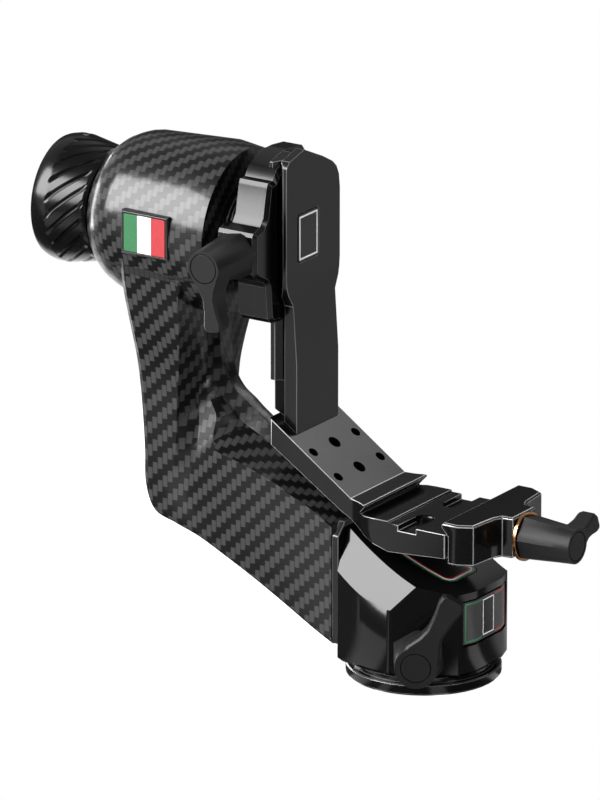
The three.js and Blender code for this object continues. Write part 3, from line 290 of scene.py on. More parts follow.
def anodised(name, level=0.002, edge_highlight_level=0.12, roughness=0.2):
    finish = Finish(name, Specular_IOR_Level=0.31)
    grain = finish.noise(3.0)
    cloud = finish.noise(0.05)
    edge = finish.attribute("edge")
    body = finish.mix(grain * 0.5 + cloud * 0.5, grey(level * 0.8), grey(level * 1.2))
    # the bevel faces are painted pale grey: a painted highlight along the milled edges
    finish.send("Base Color", finish.mix(edge, body, grey(edge_highlight_level)))
    finish.send("Roughness", grain * 0.06 + cloud * 0.05 + edge * 0.08 + (roughness - 0.05))
    finish.send("Metallic", edge * 0.35)
    finish.bump(grain, 0.004, 0.3)
    return finish.material


# each finish's edge level sets how bright the painted highlight on its bevels is
metal = anodised("anodised")
dark_metal = anodised("anodised_dark", level=0.003, edge_highlight_level=0.08, roughness=0.17)
crisp = anodised("anodised_crisp", edge_highlight_level=0.3)
polished = anodised("anodised_polished", level=0.003, edge_highlight_level=0.26, roughness=0.1)
print("anodised finishes", [m.name for m in (metal, dark_metal, crisp, polished)])

# %% [markdown]
# ## Moulded levers
#
# The three levers are moulded in a hard black plastic with a fine pebbled skin, which spreads
# the light. Noise in the roughness alone would look like dirt, so the same pebbles also go into
# a shallow bump.


# %% Moulded plastic
def moulded(name, level=0.009):
    finish = Finish(name, Specular_IOR_Level=0.2)
    pebble = finish.noise(4.0, roughness=0.6)
    cloud = finish.noise(0.08)
    mottle = cloud * 0.6 + pebble * 0.4
    finish.send("Base Color", finish.mix(mottle, grey(level * 0.85), grey(level * 1.15)))
    finish.send("Roughness", pebble * 0.12 + 0.38)
    finish.bump(pebble, 0.012, 0.5)
    return finish.material


plastic = moulded("moulded")
print("moulded finish", plastic.name)

# %% [markdown]
# ## Turned steel and brass
#
# The shaft, the screws and the bearings are steel, and the washer behind the clamp's lever is
# brass. Both are turned on a lathe, which leaves fine lines. An image of brushed metal would need
# unwrapping, so the lines are noise that is squeezed along one axis.


# %% Turned steel and brass
def turned_metal(name, colour, roughness=0.28):
    finish = Finish(name, Metallic=1.0)
    lines = finish.noise(2.5, stretch=(1.0, 1.0, 6.0))
    shade = tuple(c * 0.75 for c in colour)
    finish.send("Base Color", finish.mix(lines, shade, colour))
    finish.send("Roughness", lines * 0.14 + (roughness - 0.07))
    finish.bump(lines, 0.006, 0.4)
    return finish.material


steel = turned_metal("steel", (0.48, 0.48, 0.5))
brass = turned_metal("brass", (0.55, 0.27, 0.12), 0.24)
print("turned finishes", steel.name, brass.name)

# %% [markdown]
# ## Carbon weave
#
# The arm is laid up in a two-by-two twill: each tow goes over two and under two, one step later
# than its neighbour. An image would blur close up, so the weave is worked out from the `weave`
# map, which the arm's cell writes in millimetres. Tows that run one way are painted lighter, a
# painted sheen for the light they would catch, the others stay dark, and each stands a little
# proud at its middle. Over it lies a clear coat, which thins out in the hollow of the elbow, where
# a thick one would mirror the lamps.

# %% Carbon weave
TOW = 2.3
ELBOW = (-90.6, 87.5)
ELBOW_INNER, ELBOW_OUTER = 6.0, 16.0
THIN_COAT, FULL_COAT = 0.04, 0.48
# the lighter tow level is a painted sheen, the dark level is the tows' own colour
TOW_SHEEN, TOW_DARK, TOW_GAP = 0.036, 0.003, 0.001


def carbon():
    finish = Finish("carbon", Specular_IOR_Level=0.12, Coat_Roughness=0.17)
    weave = finish.wire("ShaderNodeUVMap", {"uv_map": "weave"})
    along, across, _ = (w / TOW for w in finish.wires("ShaderNodeSeparateXYZ", {0: weave}))
    step = (along.math("FLOOR") - across.math("FLOOR")).math("FLOORED_MODULO", 4.0)
    warp = step.below(1.5)
    in_column, in_row = ((w.math("FRACT") - 0.5).absolute() * 2.0 for w in (along, across))
    rounded = 1.0 - (warp * in_column + (1.0 - warp) * in_row).power(6.0)
    fibres = finish.noise(2.2)
    # one run of tows is painted lighter: a painted sheen
    sheen_tone = finish.mix(warp, grey(TOW_DARK), grey(TOW_SHEEN))
    shaded = finish.mix(rounded * 0.75 + 0.25, grey(TOW_GAP), sheen_tone)
    finish.send("Base Color", finish.mix(fibres * 0.35, shaded, grey(TOW_DARK)))
    finish.send("Roughness", warp * -0.08 + fibres * 0.1 + 0.36)
    x, _, z = finish.axes()
    away = ((x - ELBOW[0]).power(2.0) + (z - ELBOW[1]).power(2.0)).power(0.5)
    finish.send("Coat Weight", away.spread(ELBOW_INNER, ELBOW_OUTER, THIN_COAT, FULL_COAT))
    finish.bump(rounded, 0.05, 0.35)
    return finish.material


weave_finish = carbon()
print("tow width in mm", TOW)

# %% [markdown]
# ## The flag
#
# A small plate with three upright stripes is let into the barrel. Three pieces of geometry would
# leave gaps, so one plate is coloured by how far along it a point lies.

# %% The flag
FLAG_MIDDLE = -105.5
FLAG_HALF_STRIPE = 3.1
GREEN, WHITE, RED = (0.011, 0.1, 0.032), (0.62, 0.62, 0.62), (0.28, 0.011, 0.016)
SPECK = (0.6, 0.6, 0.6)


def flag_finish():
    finish = Finish("flag", Specular_IOR_Level=0.2)
    x, _, _ = finish.axes()
    speck = finish.noise(1.5)
    first = x.below(FLAG_MIDDLE - FLAG_HALF_STRIPE)
    last = x.above(FLAG_MIDDLE + FLAG_HALF_STRIPE)
    banded = finish.mix(last, finish.mix(first, WHITE, GREEN), RED)
    finish.send("Base Color", finish.mix(speck * 0.06, banded, SPECK))
    finish.send("Roughness", speck * 0.1 + 0.3)
    return finish.material


flag_stripes = flag_finish()
print("stripe width in mm", 2 * FLAG_HALF_STRIPE)

# %% [markdown]
# ## The two badges
#
# The swing arm and the housing each carry a thin plate with fine printed lines. Cutting such
# lines into a mesh would take many faces, so they are masks measured from the plate's own box,
# which keeps them in place if the plate's size changes.

# %% Lines on a plate
THIN_GREEN, THIN_WHITE, BADGE_RED = (0.02, 0.2, 0.08), (0.8, 0.8, 0.8), (0.55, 0.02, 0.03)
BRUSHED = (1, 1, 8)


def plate_middle(node):
    low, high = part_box(node)
    middle = [(l + h) / 2 / MM for l, h in zip(low, high)]
    half = [(h - l) / 2 / MM for l, h in zip(low, high)]
    return (middle[1], middle[2]), (half[1], half[2])


def frame_line(first, second, middle, half, inset, line):
    """One on the line that runs round a rectangle, a given inset inside its edge."""
    gap_a = (first - middle[0]).absolute() - half[0]
    gap_b = (second - middle[1]).absolute() - half[1]
    return either(gap_a, gap_b).within(-inset - line, -inset)


def inside(first, second, middle, half):
    within_a = (first - middle[0]).absolute().below(half[0])
    return within_a * (second - middle[1]).absolute().below(half[1])


print("arm badge in mm", [round(2 * h, 1) for h in plate_middle("arm_badge")[1]])


# %% Badge finishes
def bordered_badge():
    """The badge high on the swing arm, with a white line round it."""
    finish = Finish("badge_bordered", Metallic=0.1)
    _, y, z = finish.axes()
    middle, half = plate_middle("arm_badge")
    grain = finish.noise(2.0, stretch=BRUSHED)
    line = frame_line(y, z, middle, half, inset=0.8, line=0.75)
    plain = finish.mix(grain, grey(0.006), grey(0.011))
    finish.send("Base Color", finish.mix(line, plain, THIN_WHITE))
    finish.send("Roughness", grain * 0.12 + 0.26)
    return finish.material


def striped_badge():
    """The plate on the housing: a bordered field between a green and a red bracket."""
    finish = Finish("badge_striped", Metallic=0.1)
    _, y, z = finish.axes()
    middle, half = plate_middle("front_badge_plate")
    grain = finish.noise(2.0, stretch=BRUSHED)
    bracket = frame_line(y, z, middle, half, inset=0.7, line=0.55)
    green = bracket * (y - middle[0]).below(-half[0] * 0.3)
    red = bracket * (y - middle[0]).above(half[0] * 0.3)
    field = (half[0] * 0.29, half[1] - 0.9)
    border = frame_line(y, z, middle, field, inset=0.35, line=0.5)
    plain = finish.mix(grain, grey(0.03), grey(0.042))
    lined = finish.mix(red, finish.mix(green, plain, THIN_GREEN), BADGE_RED)
    dark = finish.mix(inside(y, z, middle, field), lined, grey(0.008))
    finish.send("Base Color", finish.mix(border, dark, THIN_WHITE))
    finish.send("Roughness", grain * 0.12 + 0.26)
    return finish.material


arm_badge_finish = bordered_badge()
front_badge_finish = striped_badge()
print("badge finishes", arm_badge_finish.name, front_badge_finish.name)

# %% [markdown]
# ## Machined pieces
#
# On a milled piece no edge is quite sharp, and the thin band that is broken off it is what
# catches the light. A Bevel modifier could do this live, but it can't say which faces it made.
# So each node's mesh is copied, its loose triangles are merged, and the bevel operator rounds the
# sharp edges and hands back the new faces, which get the `edge` attribute for the finish, which
# paints them pale as a painted highlight.

# %% Copies and pieces
MERGE_WITHIN = 0.002
FLAT_WITHIN = math.radians(1.0)


def merged_copy(name):
    mesh = bmesh.new()
    mesh.from_mesh(nodes[name].data)
    mesh.transform(nodes[name].matrix_world)
    bmesh.ops.remove_doubles(mesh, verts=mesh.verts, dist=MERGE_WITHIN * MM)
    bmesh.ops.dissolve_limit(mesh, angle_limit=FLAT_WITHIN, verts=mesh.verts, edges=mesh.edges)
    return mesh


def as_object(mesh, name):
    data = bpy.data.meshes.new(name)
    mesh.to_mesh(data)
    mesh.free()
    return put_in_scene(name, data)


def finish_piece(mesh, name, body, material, smooth_angle=32.0, stands_for=()):
    bmesh.ops.recalc_face_normals(mesh, faces=mesh.faces)
    piece = as_object(mesh, name)
    piece.data.materials.append(material)
    piece.data.shade_smooth()
    piece.data.set_sharp_from_angle(angle=math.radians(smooth_angle))
    even = piece.modifiers.new("even", "WEIGHTED_NORMAL")
    even.keep_sharp = True
    if stands_for:
        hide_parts(*stands_for)
    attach(piece, body)
    return piece


print("nodes that can be copied", len(nodes))

# %% Bevelled edges
SHARP_FROM = math.radians(28.0)
BEVEL_SEGMENTS = 2
SHORTEST_FREE_EDGE = 1.7


def machined(name, material, width, clamped=True):
    """Unclamped, the bevel keeps its full width, and edges too short for it are left out."""
    mesh = merged_copy(name)
    bevel_highlight_layer = mesh.faces.layers.float.new("edge")
    sharp = [
        e for e in mesh.edges if len(e.link_faces) == 2 and e.calc_face_angle(0.0) > SHARP_FROM
    ]
    if not clamped:
        sharp = [e for e in sharp if e.calc_length() > SHORTEST_FREE_EDGE * MM]
    made = bmesh.ops.bevel(
        mesh, geom=sharp, offset=width * MM, offset_type="OFFSET", segments=BEVEL_SEGMENTS,
        profile=0.5, affect="EDGES", material=-1, clamp_overlap=clamped,
    )
    # these faces get the painted edge highlight
    for face in made["faces"]:
        face[bevel_highlight_layer] = 1.0
    return finish_piece(mesh, name + "_piece", body_of[name], material, stands_for=(name,))


MACHINED = {
    "base_plate": (metal, 0.5), "base_housing": (polished, 1.1), "arm_collar": (dark_metal, 0.4),
    "carriage": (metal, 0.5), "swing_arm": (metal, 0.35), "cradle": (crisp, 0.25, False),
    "clamp_jaw": (polished, 0.25), "flag_frame": (dark_metal, 0.3),
    "tilt_hub": (dark_metal, 0.3), "knob_end_cap": (dark_metal, 0.3),
    "pan_lock_lever": (plastic, 0.4), "height_lock_lever": (plastic, 0.4),
    "clamp_lever": (plastic, 0.4), "pan_lever_cap": (plastic, 0.25),
    "height_lever_cap": (plastic, 0.25), "clamp_lever_cap": (plastic, 0.25),
    "clamp_washer": (brass, 0.2), "arm_badge": (arm_badge_finish, 0.15),
    "front_badge_plate": (front_badge_finish, 0.15), "flag_plate": (flag_stripes, 0.1),
}
dressed = {name: machined(name, *choice) for name, choice in MACHINED.items()}
print("machined pieces", len(dressed))

# %% [markdown]
# ## Trim plate
#
# The plate on the housing's saddle has round corners, and three thin lines follow its outline.
# Measured from a box, as on the badges, they would cut the corners. So the top is inset once for
# each line, every ring of faces is numbered, and the finish colours it by its number.

# %% Trim plate
STRIPE_WIDTHS = (0.5, 0.85, 0.85, 0.75)
STRIPE_COLOURS = (THIN_GREEN, THIN_WHITE, (0.5, 0.015, 0.03))
FACES_UP = 0.4


def trim_finish():
    finish = Finish("trim")
    stripe = finish.attribute("stripe")
    grain = finish.noise(2.0)
    colour = finish.mix(grain, grey(0.005), grey(0.009))
    for number, paint in enumerate(STRIPE_COLOURS, start=1):
        colour = finish.mix(stripe.within(number - 0.5, number + 0.5), colour, paint)
    finish.send("Base Color", colour)
    finish.send("Roughness", grain * 0.1 + 0.25)
    return finish.material


def add_trim():
    mesh = merged_copy("top_trim_plate")
    stripe_layer = mesh.faces.layers.float.new("stripe")
    top = [f for f in mesh.faces if f.normal.z > FACES_UP]
    for number, width in enumerate(STRIPE_WIDTHS):
        ring = bmesh.ops.inset_region(
            mesh, faces=top, thickness=width * MM, depth=0.0, use_even_offset=True,
            use_boundary=True,
        )["faces"]
        for face in ring:
            face[stripe_layer] = number
    return finish_piece(
        mesh, "top_trim_piece", "pan_head", trim_finish(), 25.0, ("top_trim_plate",)
    )


trim = add_trim()
print("trim faces", len(trim.data.polygons))

# %% [markdown]
# ## Drag knob
#
# The knob at the barrel's rear is turned to a smooth rim and a cone, and slanted flutes are then
# milled in for the fingers. Cutting each flute with a boolean would be slow and would leave thin
# slivers. Instead one ring of points is extruded from station to station, and the points that
# lie in a flute are set a little deeper. Each ring is turned a bit further, which slants them.
#
# Extrude and spin may number what they make differently from run to run. A boolean or a filled
# end depends on those numbers, so the parts are sorted by place to give the same mesh each time.
# A variable that held an edge before the sort may hold another one after it, so the open edges
# are looked up afresh.


# %% From ring to ring
def sort_parts(parts, key):
    rank = {part: number for number, part in enumerate(sorted(parts, key=key))}
    parts.sort(key=lambda part: rank[part])
    parts.index_update()


def in_order(mesh):
    sort_parts(mesh.verts, lambda vert: tuple(round(c, 7) for c in vert.co))
    for parts in (mesh.edges, mesh.faces):
        sort_parts(parts, lambda part: sorted(vert.index for vert in part.verts))


def lofted(rings):
    """A first ring of points, extruded through the others, with both ends filled."""
    mesh = bmesh.new()
    ring = [mesh.verts.new(point * MM) for point in rings[0]]
    edges = [mesh.edges.new(pair) for pair in zip(ring, ring[1:] + ring[:1])]
    for points in rings[1:]:
        grown = bmesh.ops.extrude_edge_only(mesh, edges=edges)["geom"]
        fresh = {part for part in grown if isinstance(part, bmesh.types.BMVert)}
        ring = [
            next(e.other_vert(old) for e in old.link_edges if e.other_vert(old) in fresh)
            for old in ring
        ]
        for vert, point in zip(ring, points):
            vert.co = point * MM
        edges = [mesh.edges.get(pair) for pair in zip(ring, ring[1:] + ring[:1])]
    in_order(mesh)
    bmesh.ops.edgeloop_fill(mesh, edges=[e for e in mesh.edges if e.is_boundary])
    return mesh


corners = [Vector((x, y, 0)) for x, y in ((-1, -1), (1, -1), (1, 1), (-1, 1))]
trial = lofted([corners, [c + Vector((0, 0, 2)) for c in corners]])
print("a box has", len(trial.verts), "corners and", len(trial.faces), "faces")
trial.free()

# %% Drag knob
TILT_AXIS_Z = 163.5
KNOB_REAR, KNOB_FRONT = -165.0, -141.2
KNOB_RIM, KNOB_RADIUS, KNOB_NECK = 24.6, 25.2, 22.3
KNOB_BORE, KNOB_BORE_DEPTH = 5.2, 14
CAP_SEAT, CAP_SEAT_DEPTH = 12.4, 1.6
FLUTES, FLUTE_DEPTH, FLUTE_TWIST = 22, 1.0, 0.62
FLUTE_START, FLUTE_END = KNOB_REAR + 7.0, KNOB_FRONT - 1.0
FLUTE_ROWS, FLUTE_FADE, FLUTE_SHARE = 24, 7, 2.3
POINTS_PER_FLUTE = 16
KNOB_POINTS = FLUTES * POINTS_PER_FLUTE


def knob_ring(x, radius, depth, turn):
    ring = []
    for i in range(KNOB_POINTS):
        angle = math.tau * i / KNOB_POINTS + turn
        along = (i % POINTS_PER_FLUTE) / POINTS_PER_FLUTE
        groove = max(0.0, math.sin(math.pi * min(1.0, along * FLUTE_SHARE)))
        here = radius - depth * groove
        ring.append(Vector((x, here * math.cos(angle), TILT_AXIS_Z + here * math.sin(angle))))
    return ring


def knob_rows():
    """Stations from rear to front: place, radius, depth of the flutes and turn."""
    rim = [
        (1.6, CAP_SEAT), (0.0, CAP_SEAT), (0.0, KNOB_RIM - 1.2), (0.35, KNOB_RIM - 0.35),
        (1.2, KNOB_RIM), (4.0, KNOB_RADIUS), (6.5, KNOB_RADIUS - 0.1),
    ]
    rows = [(KNOB_REAR + ahead, radius, 0, 0) for ahead, radius in rim]
    for step in range(FLUTE_ROWS + 1):
        share = step / FLUTE_ROWS
        fade = min(1.0, share * FLUTE_FADE) * min(1.0, (1 - share) * FLUTE_FADE)
        radius = KNOB_RADIUS + (KNOB_NECK - KNOB_RADIUS) * share
        x = FLUTE_START + (FLUTE_END - FLUTE_START) * share
        rows.append((x, radius, FLUTE_DEPTH * fade, -FLUTE_TWIST * share))
    neck = [(0, KNOB_NECK - 0.9), (0, KNOB_BORE), (KNOB_BORE_DEPTH, KNOB_BORE)]
    return rows + [(KNOB_FRONT - behind, radius, 0, -FLUTE_TWIST) for behind, radius in neck]


knob_mesh = lofted([knob_ring(*row) for row in knob_rows()])
knob = finish_piece(knob_mesh, "drag_knob_piece", "drag_knob", metal, 35.0, ("drag_knob",))
print("knob faces", len(knob.data.polygons))

# %% [markdown]
# ## Pieces that keep their own mesh
#
# The spindle, the bearings, the screws and the shaft sit inside, where a bevel would never be
# seen. They keep the mesh that they came with and only get a finish, chosen by the slot that
# each one has in the frame's record.

# %% Finishes by slot
SLOT_FINISH = {
    "steel": steel, "brass": brass, "anodised": metal, "moulded": plastic,
    "badge": arm_badge_finish, "flag": flag_stripes, "carbon": weave_finish,
}
slot_of = {entry["node"]: entry["material_slot"] for entry in frame["record"]["subparts"]}
for name, node in nodes.items():
    node.data.materials.clear()
    node.data.materials.append(SLOT_FINISH[slot_of[name]])
print("finished nodes", len(nodes))

# %% [markdown]
# ## The carbon arm
#
# The arm is laid up in a mould, and it is the piece that takes the most skill. A barrel holds the
# tilt axis. From it a leg sweeps down the upright, round the elbow and out to the collar, with a
# crease along its near face, a valley beside it and a ridge on the inside of the bend.
#
# Sculpting would lose the creases, and one extruded outline would lose the sweep. So the leg is
# a loft through sixteen stations. `OUTER` and `INNER` are the two ends of each station, as shares
# of the arm's reach and of the axis's height. `WIDTHS` holds the half widths at the outer edge,
# the crease, the valley, the ridge, the foot and the inner face, as shares of the barrel's
# radius, and `ACROSS` says how far across the station the first five of them lie.

# %% The arm's tables
ARM_END_X, LEG_REAR_X = -26.7, -121.0
BARREL_RADIUS, BORE_RADIUS = 33.6, 20.3
OUTER = [
    (1, 0.985), (0.997, 0.862), (0.979, 0.775), (0.966, 0.685), (0.957, 0.612), (0.949, 0.538),
    (0.942, 0.453), (0.938, 0.368), (0.893, 0.306), (0.786, 0.284), (0.666, 0.263), (0.533, 0.23),
    (0.384, 0.19), (0.23, 0.143), (0.102, 0.102), (0, 0.072),
]
INNER = [
    (0.666, 0.985), (0.674, 0.862), (0.678, 0.775), (0.671, 0.685), (0.646, 0.639), (0.603, 0.606),
    (0.549, 0.585), (0.507, 0.566), (0.464, 0.549), (0.417, 0.528), (0.343, 0.498), (0.252, 0.467),
    (0.168, 0.435), (0.088, 0.41), (0.04, 0.391), (0, 0.3755),
]
WIDTHS = [
    (0.958, 0.958, 0.506, 0.357, 0.24, 0.12), (0.854, 0.854, 0.506, 0.357, 0.24, 0.12),
    (0.79, 0.789, 0.461, 0.33, 0.238, 0.12), (0.695, 0.69, 0.402, 0.3, 0.223, 0.12),
    (0.66, 0.655, 0.372, 0.283, 0.208, 0.105), (0.647, 0.643, 0.372, 0.327, 0.193, 0.095),
    (0.643, 0.64, 0.446, 0.387, 0.178, 0.09), (0.643, 0.64, 0.542, 0.506, 0.178, 0.09),
    (0.646, 0.643, 0.604, 0.64, 0.18, 0.09), (0.652, 0.65, 0.637, 0.655, 0.184, 0.09),
    (0.662, 0.661, 0.661, 0.667, 0.208, 0.104), (0.68, 0.68, 0.682, 0.685, 0.27, 0.12),
    (0.696, 0.696, 0.698, 0.7, 0.357, 0.18), (0.708, 0.708, 0.71, 0.711, 0.446, 0.3),
    (0.716, 0.716, 0.717, 0.717, 0.536, 0.42), (0.72, 0.72, 0.72, 0.72, 0.595, 0.476),
]
ACROSS = [
    (0.1, 0.933, 0.975, 0.98, 0.985), (0.1, 0.889, 0.895, 0.9, 0.91),
    (0.1, 0.854, 0.907, 0.915, 0.93), (0.1, 0.749, 0.872, 0.885, 0.91),
    (0.095, 0.634, 0.763, 0.8, 0.86), (0.085, 0.525, 0.65, 0.78, 0.86),
    (0.08, 0.435, 0.6, 0.78, 0.87), (0.075, 0.363, 0.56, 0.73, 0.875),
    (0.07, 0.22, 0.415, 0.753, 0.9), (0.065, 0.13, 0.27, 0.797, 0.92),
    (0.06, 0.11, 0.25, 0.85, 0.94), (0.055, 0.11, 0.25, 0.9, 0.955),
    (0.05, 0.11, 0.25, 0.93, 0.97), (0.05, 0.11, 0.25, 0.955, 0.98),
    (0.05, 0.11, 0.25, 0.965, 0.985), (0.05, 0.11, 0.25, 0.97, 0.99),
]
print("stations", len(OUTER), len(INNER), len(WIDTHS), len(ACROSS))

# %% [markdown]
# ## Curves through the stations
#
# Straight runs between sixteen stations would show as facets. A curve that passes through four
# neighbouring rows at a time gives as many rings in between as are wanted, and each ring
# is drawn on its station's line: half of it from the width tables, the other half mirrored.


# %% Curves through the tables
def through(rows, share):
    """A smooth value between table rows, which are walked evenly."""
    place = share * (len(rows) - 1)
    low = min(int(place), len(rows) - 2)
    t = place - low
    a, b, c, d = (rows[max(0, min(len(rows) - 1, i))] for i in range(low - 1, low + 3))
    return [
        q + 0.5 * t * (r - p + t * (2 * p - 5 * q + 4 * r - w + t * (3 * (q - r) + w - p)))
        for p, q, r, w in zip(a, b, c, d)
    ]


def curve_point(rows, share):
    back_share, height = through(rows, share)
    return Vector((ARM_END_X - back_share * (ARM_END_X - LEG_REAR_X), 0, height * TILT_AXIS_Z))


def half_section(widths, across):
    edge, crease, valley, ridge, foot, top = (w * BARREL_RADIUS for w in widths)
    at_edge, at_crease, at_valley, at_ridge, at_foot = across
    return [
        (0, 0), (0, edge * 0.5), (0.004, edge * 0.82), (at_edge * 0.3, edge * 0.95),
        (at_edge, edge), ((at_edge + at_crease) / 2, (edge + crease) / 2), (at_crease, crease),
        ((at_crease + at_valley) / 2, (crease + valley) / 2), (at_valley, valley),
        ((at_valley + at_ridge) / 2, (valley + ridge) / 2), (at_ridge, ridge), (at_foot, foot),
        (0.994, top), (1, top * 0.5), (1, 0),
    ]


def arm_ring(share):
    start, end = curve_point(OUTER, share), curve_point(INNER, share)
    half = half_section(through(WIDTHS, share), through(ACROSS, share))
    ring = half + [(at, -width) for at, width in reversed(half[1:-1])]
    return [start.lerp(end, at) + Vector((0, -width, 0)) for at, width in ring]


print("ring points", len(arm_ring(0.5)))

# %% [markdown]
# ## The barrel
#
# The barrel is round about the tilt axis: a rounded rear, a crease and a slight taper to the
# front rim. A cylinder would need its rear rounded afterwards, so one closed profile is spun
# instead, bore and all.

# %% The barrel
BARREL_SIDES = 128
BARREL_REAR, BARREL_THROAT_X, BARREL_CREASE_X, BARREL_FRONT = -140.6, -124.0, -91.5, -80.5
THROAT, FRONT_RIM = 32.1, 32.2
REAR_ROUND = [(0, 0.66), (1.8, 0.74), (4.2, 0.825), (7.2, 0.895), (10.8, 0.95), (13.6, 0.982)]
SPIN_MERGE = 0.001


def spin_profile(points):
    """A profile of (x, radius), spun about the tilt axis."""
    mesh = bmesh.new()
    verts = [mesh.verts.new((x * MM, 0, (TILT_AXIS_Z + radius) * MM)) for x, radius in points]
    edges = [mesh.edges.new(pair) for pair in zip(verts, verts[1:])]
    bmesh.ops.spin(
        mesh, geom=verts + edges, cent=(0, 0, TILT_AXIS_Z * MM), axis=(1, 0, 0),
        angle=math.tau, steps=BARREL_SIDES, use_merge=True,
    )
    bmesh.ops.remove_doubles(mesh, verts=mesh.verts, dist=SPIN_MERGE * MM)
    in_order(mesh)
    bmesh.ops.recalc_face_normals(mesh, faces=mesh.faces)
    return mesh


def barrel_profile():
    rear = [(BARREL_REAR + ahead, share * THROAT) for ahead, share in REAR_ROUND]
    bands = [
        (BARREL_THROAT_X, THROAT), (BARREL_CREASE_X, BARREL_RADIUS), (BARREL_FRONT, FRONT_RIM),
    ]
    bore_wall = [(BARREL_FRONT, BORE_RADIUS), (BARREL_REAR, BORE_RADIUS)]
    return rear + bands + bore_wall + rear[:1]


barrel = as_object(spin_profile(barrel_profile()), "barrel")
print("barrel faces", len(barrel.data.polygons))

# %% [markdown]
# ## Leg and barrel in one
#
# The moulding is one skin, so the two bodies are joined by booleans, not left to cross. The leg
# is bored first, so that nothing of it stays inside the barrel, and then the barrel is added.
# A boolean goes wrong on a mesh that has flat slivers or crosses itself, so the volume and the
# edges that two faces don't share are counted afterwards. There should be none.

# %% Leg and barrel in one
ARM_STEPS = 110
BORE_PAST = 1
SLIVER = 1e-6


def leg_mesh():
    mesh = lofted([arm_ring(step / ARM_STEPS) for step in range(ARM_STEPS + 1)])
    bmesh.ops.triangulate(mesh, faces=mesh.faces)
    bmesh.ops.recalc_face_normals(mesh, faces=mesh.faces)
    print("slivers in the leg", sum(face.calc_area() < SLIVER * MM**2 for face in mesh.faces))
    return mesh


def bore_profile():
    rear, front = BARREL_REAR - BORE_PAST, BARREL_FRONT + BORE_PAST
    return [(rear, 0), (rear, BORE_RADIUS), (front, BORE_RADIUS), (front, 0)]


def combined(first, second, operation):
    change = first.modifiers.new("combine", "BOOLEAN")
    change.object, change.operation, change.solver = second, operation, "EXACT"
    bpy.context.view_layer.update()
    graph = bpy.context.evaluated_depsgraph_get()
    data = bpy.data.meshes.new_from_object(first.evaluated_get(graph))
    first.modifiers.clear()
    first.data = data
    bpy.data.objects.remove(second)
    return first


leg = as_object(leg_mesh(), "leg")
bore = as_object(spin_profile(bore_profile()), "bore")
arm = combined(combined(leg, bore, "DIFFERENCE"), barrel, "UNION")
measured = bmesh.new()
measured.from_mesh(arm.data)
print("arm in cm3", round(measured.calc_volume() / (10 * MM) ** 3, 1), "faces", len(measured.faces))
print("edges not shared by two", sum(len(e.link_faces) != 2 for e in measured.edges))
measured.free()

# %% [markdown]
# ## The weave's map
#
# Cloth is draped into the mould in flat panels, and wrapped round the barrel. Blender's own
# unwrapping would stretch the squares, so each face is mapped by the way it looks: flat from the
# side on the near and far faces, round the axis on the barrel, and from above on the rest.

# %% The arm's weave map
WEAVE_SHIFT = 49.3
WRAP_FROM_Z = 150
WRAP_RADIUS = 33.0
BARREL_SLACK = 0.15
SIDEWAYS, ENDWAYS, OUTWARDS = 0.5, 0.6, 0.5


def weave_point(point, normal):
    x, y, z = (c / MM for c in point)
    height = z - TILT_AXIS_Z
    outward = Vector((0, y, height)).normalized()
    on_barrel = (
        BARREL_REAR < x < BARREL_FRONT + 0.1
        and math.hypot(y, height) < BARREL_RADIUS + BARREL_SLACK
    )
    if on_barrel and z > WRAP_FROM_Z and normal.dot(outward) > OUTWARDS:
        return x, -WRAP_RADIUS * math.atan2(-y, height)
    if abs(normal.y) > SIDEWAYS:
        return (x if normal.y < 0 else -x), height + WEAVE_SHIFT
    if abs(normal.x) > ENDWAYS:
        return y, z
    return x, y


def map_weave(piece):
    mesh = bmesh.new()
    mesh.from_mesh(piece.data)
    bmesh.ops.triangulate(mesh, faces=[f for f in mesh.faces if len(f.verts) > 4])
    layer = mesh.loops.layers.uv.new("weave")
    for face in mesh.faces:
        for loop in face.loops:
            loop[layer].uv = weave_point(loop.vert.co, face.normal)
    return mesh


arm_mesh = map_weave(arm)
bpy.data.objects.remove(arm)
arm = finish_piece(arm_mesh, "carbon_arm_piece", "pan_head", weave_finish, 17.0, ("carbon_arm",))
print("arm box in mm", [round(c, 1) for c in arm.dimensions / MM])

# %% [markdown]
# ## Lamps
#
# Black, glossy things are lit by what they mirror. Small lamps would show as dots, so each one is
# a wide area lamp: a large one from the left, a soft one from above and behind, and two narrow
# ones that draw a line of light along the barrel and down the right side.

# %% Lamps
AIM = (-0.05, 0.0, 0.1)
LAMPS = [
    ("key_left", (-0.62, -0.78, 0.66), AIM, (0.85, 0.75), 36),
    ("top_back", (0.1, 0.9, 0.95), AIM, (0.9, 0.4), 3),
    ("rim_left", (-0.62, 0.14, 0.06), (-0.15, 0.0, 0.16), (0.35, 0.4), 7),
    ("right_strip", (1.0, -0.25, 0.5), AIM, (0.15, 0.8), 3),
]


def add_lamp(name, place, target, size, power):
    data = bpy.data.lights.new(name, "AREA")
    data.shape = "RECTANGLE"
    data.size, data.size_y = size
    data.energy = power
    lamp = put_in_scene(name, data)
    lamp.location = place
    lamp.rotation_mode = "QUATERNION"
    lamp.rotation_quaternion = (Vector(target) - Vector(place)).to_track_quat("-Z", "Y")
    lamp.visible_camera = False
    return lamp


lamps = [add_lamp(*lamp) for lamp in LAMPS]
print("lamps", len(lamps))

# %% [markdown]
# ## Floor
#
# The picture stands on white paper. The polished housing mirrors that paper, and in a real studio
# it would see dark flags and pale cards on it as well. Cards made of geometry would be in the
# picture, so the floor is plain white to the camera, and only glossy surfaces see the cards: pale
# bands round the foot, each with a direction, a half width and a level.

# %% Floor
DIM_LEVEL = 0.1
BAND_SOFTNESS = 0.55
FLOOR_HALF, FLOOR_DROP = 8.0, 0.0004
PALE_BANDS = [
    (-0.69, 0.08, 1.3), (-0.52, 0.035, 1.2), (-0.25, 0.05, 1.3), (0.1, 0.05, 1.2),
    (0.33, 0.13, 0.55), (0.87, 0.13, 1.6),
]


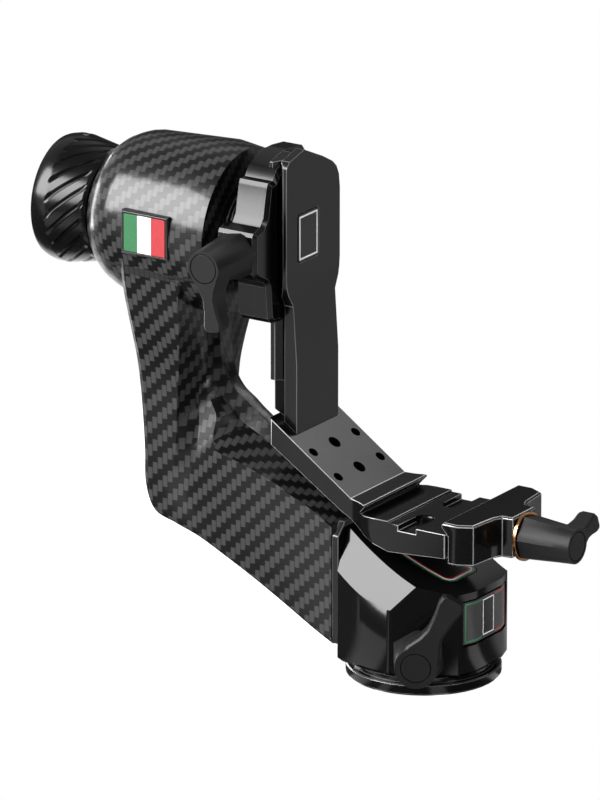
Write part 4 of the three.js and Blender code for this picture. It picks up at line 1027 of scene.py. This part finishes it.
def floor_finish():
    finish = Finish("floor", Base_Color=(0.8, 0.8, 0.8, 1), Roughness=0.9)
    x, y, _ = finish.axes()
    turn = y.math("ARCTAN2", x) / math.pi
    pale = DIM_LEVEL
    for middle, half, level in PALE_BANDS:
        pale = either((turn - middle).absolute().spread(half, half * BAND_SOFTNESS) * level, pale)
    rays = finish.node("ShaderNodeLightPath").outputs
    camera_ray, glossy_ray = (
        Wire(finish, rays[f"Is {kind} Ray"]) for kind in ("Camera", "Glossy")
    )
    glow = finish.wire("ShaderNodeEmission", sockets={"Strength": either(pale, camera_ray)})
    paper = Wire(finish, finish.shader.outputs[0])
    finish.blend(either(camera_ray, glossy_ray), paper, glow)
    return finish.material


def add_floor():
    mesh = bmesh.new()
    bmesh.ops.create_grid(mesh, x_segments=1, y_segments=1, size=FLOOR_HALF)
    floor = as_object(mesh, "floor")
    floor.location.z = -FLOOR_DROP
    floor.data.materials.append(floor_finish())
    return floor


floor = add_floor()
print("floor", floor.name, "with pale bands", len(PALE_BANDS))

# %% [markdown]
# ## World
#
# The room is dark near the floor and bright overhead, so that upright faces stay black and level
# ones turn grey. A flat grey world would make both the same. The camera itself sees white.

# %% World
DARK_BAND, BRIGHT_SKY, ZENITH = 0.06, 0.42, 0.35
FULL_WHITE = (1, 1, 1, 1)


def set_world():
    world = bpy.data.worlds.new("studio")
    bpy.context.scene.world = world
    world.use_nodes = True
    board = Board(world.node_tree)
    place = board.wire("ShaderNodeTexCoord", output="Generated")
    height = board.wires("ShaderNodeSeparateXYZ", {0: place})[2]
    sky = height.spread(0.33, 0.5, DARK_BAND, BRIGHT_SKY) * height.spread(0.75, 1.0, 1.0, ZENITH)
    room = board.tree.nodes["Background"]
    board.feed(room.inputs["Color"], FULL_WHITE)
    board.feed(room.inputs["Strength"], sky)
    white = board.wire("ShaderNodeBackground", sockets={"Color": FULL_WHITE, "Strength": 1.0})
    camera_ray = board.wire("ShaderNodeLightPath", output="Is Camera Ray")
    board.blend(camera_ray, Wire(board, room.outputs[0]), white)
    return world


world = set_world()
bpy.context.scene.view_settings.view_transform = "Standard"
print("world", world.name)

# %% [markdown]
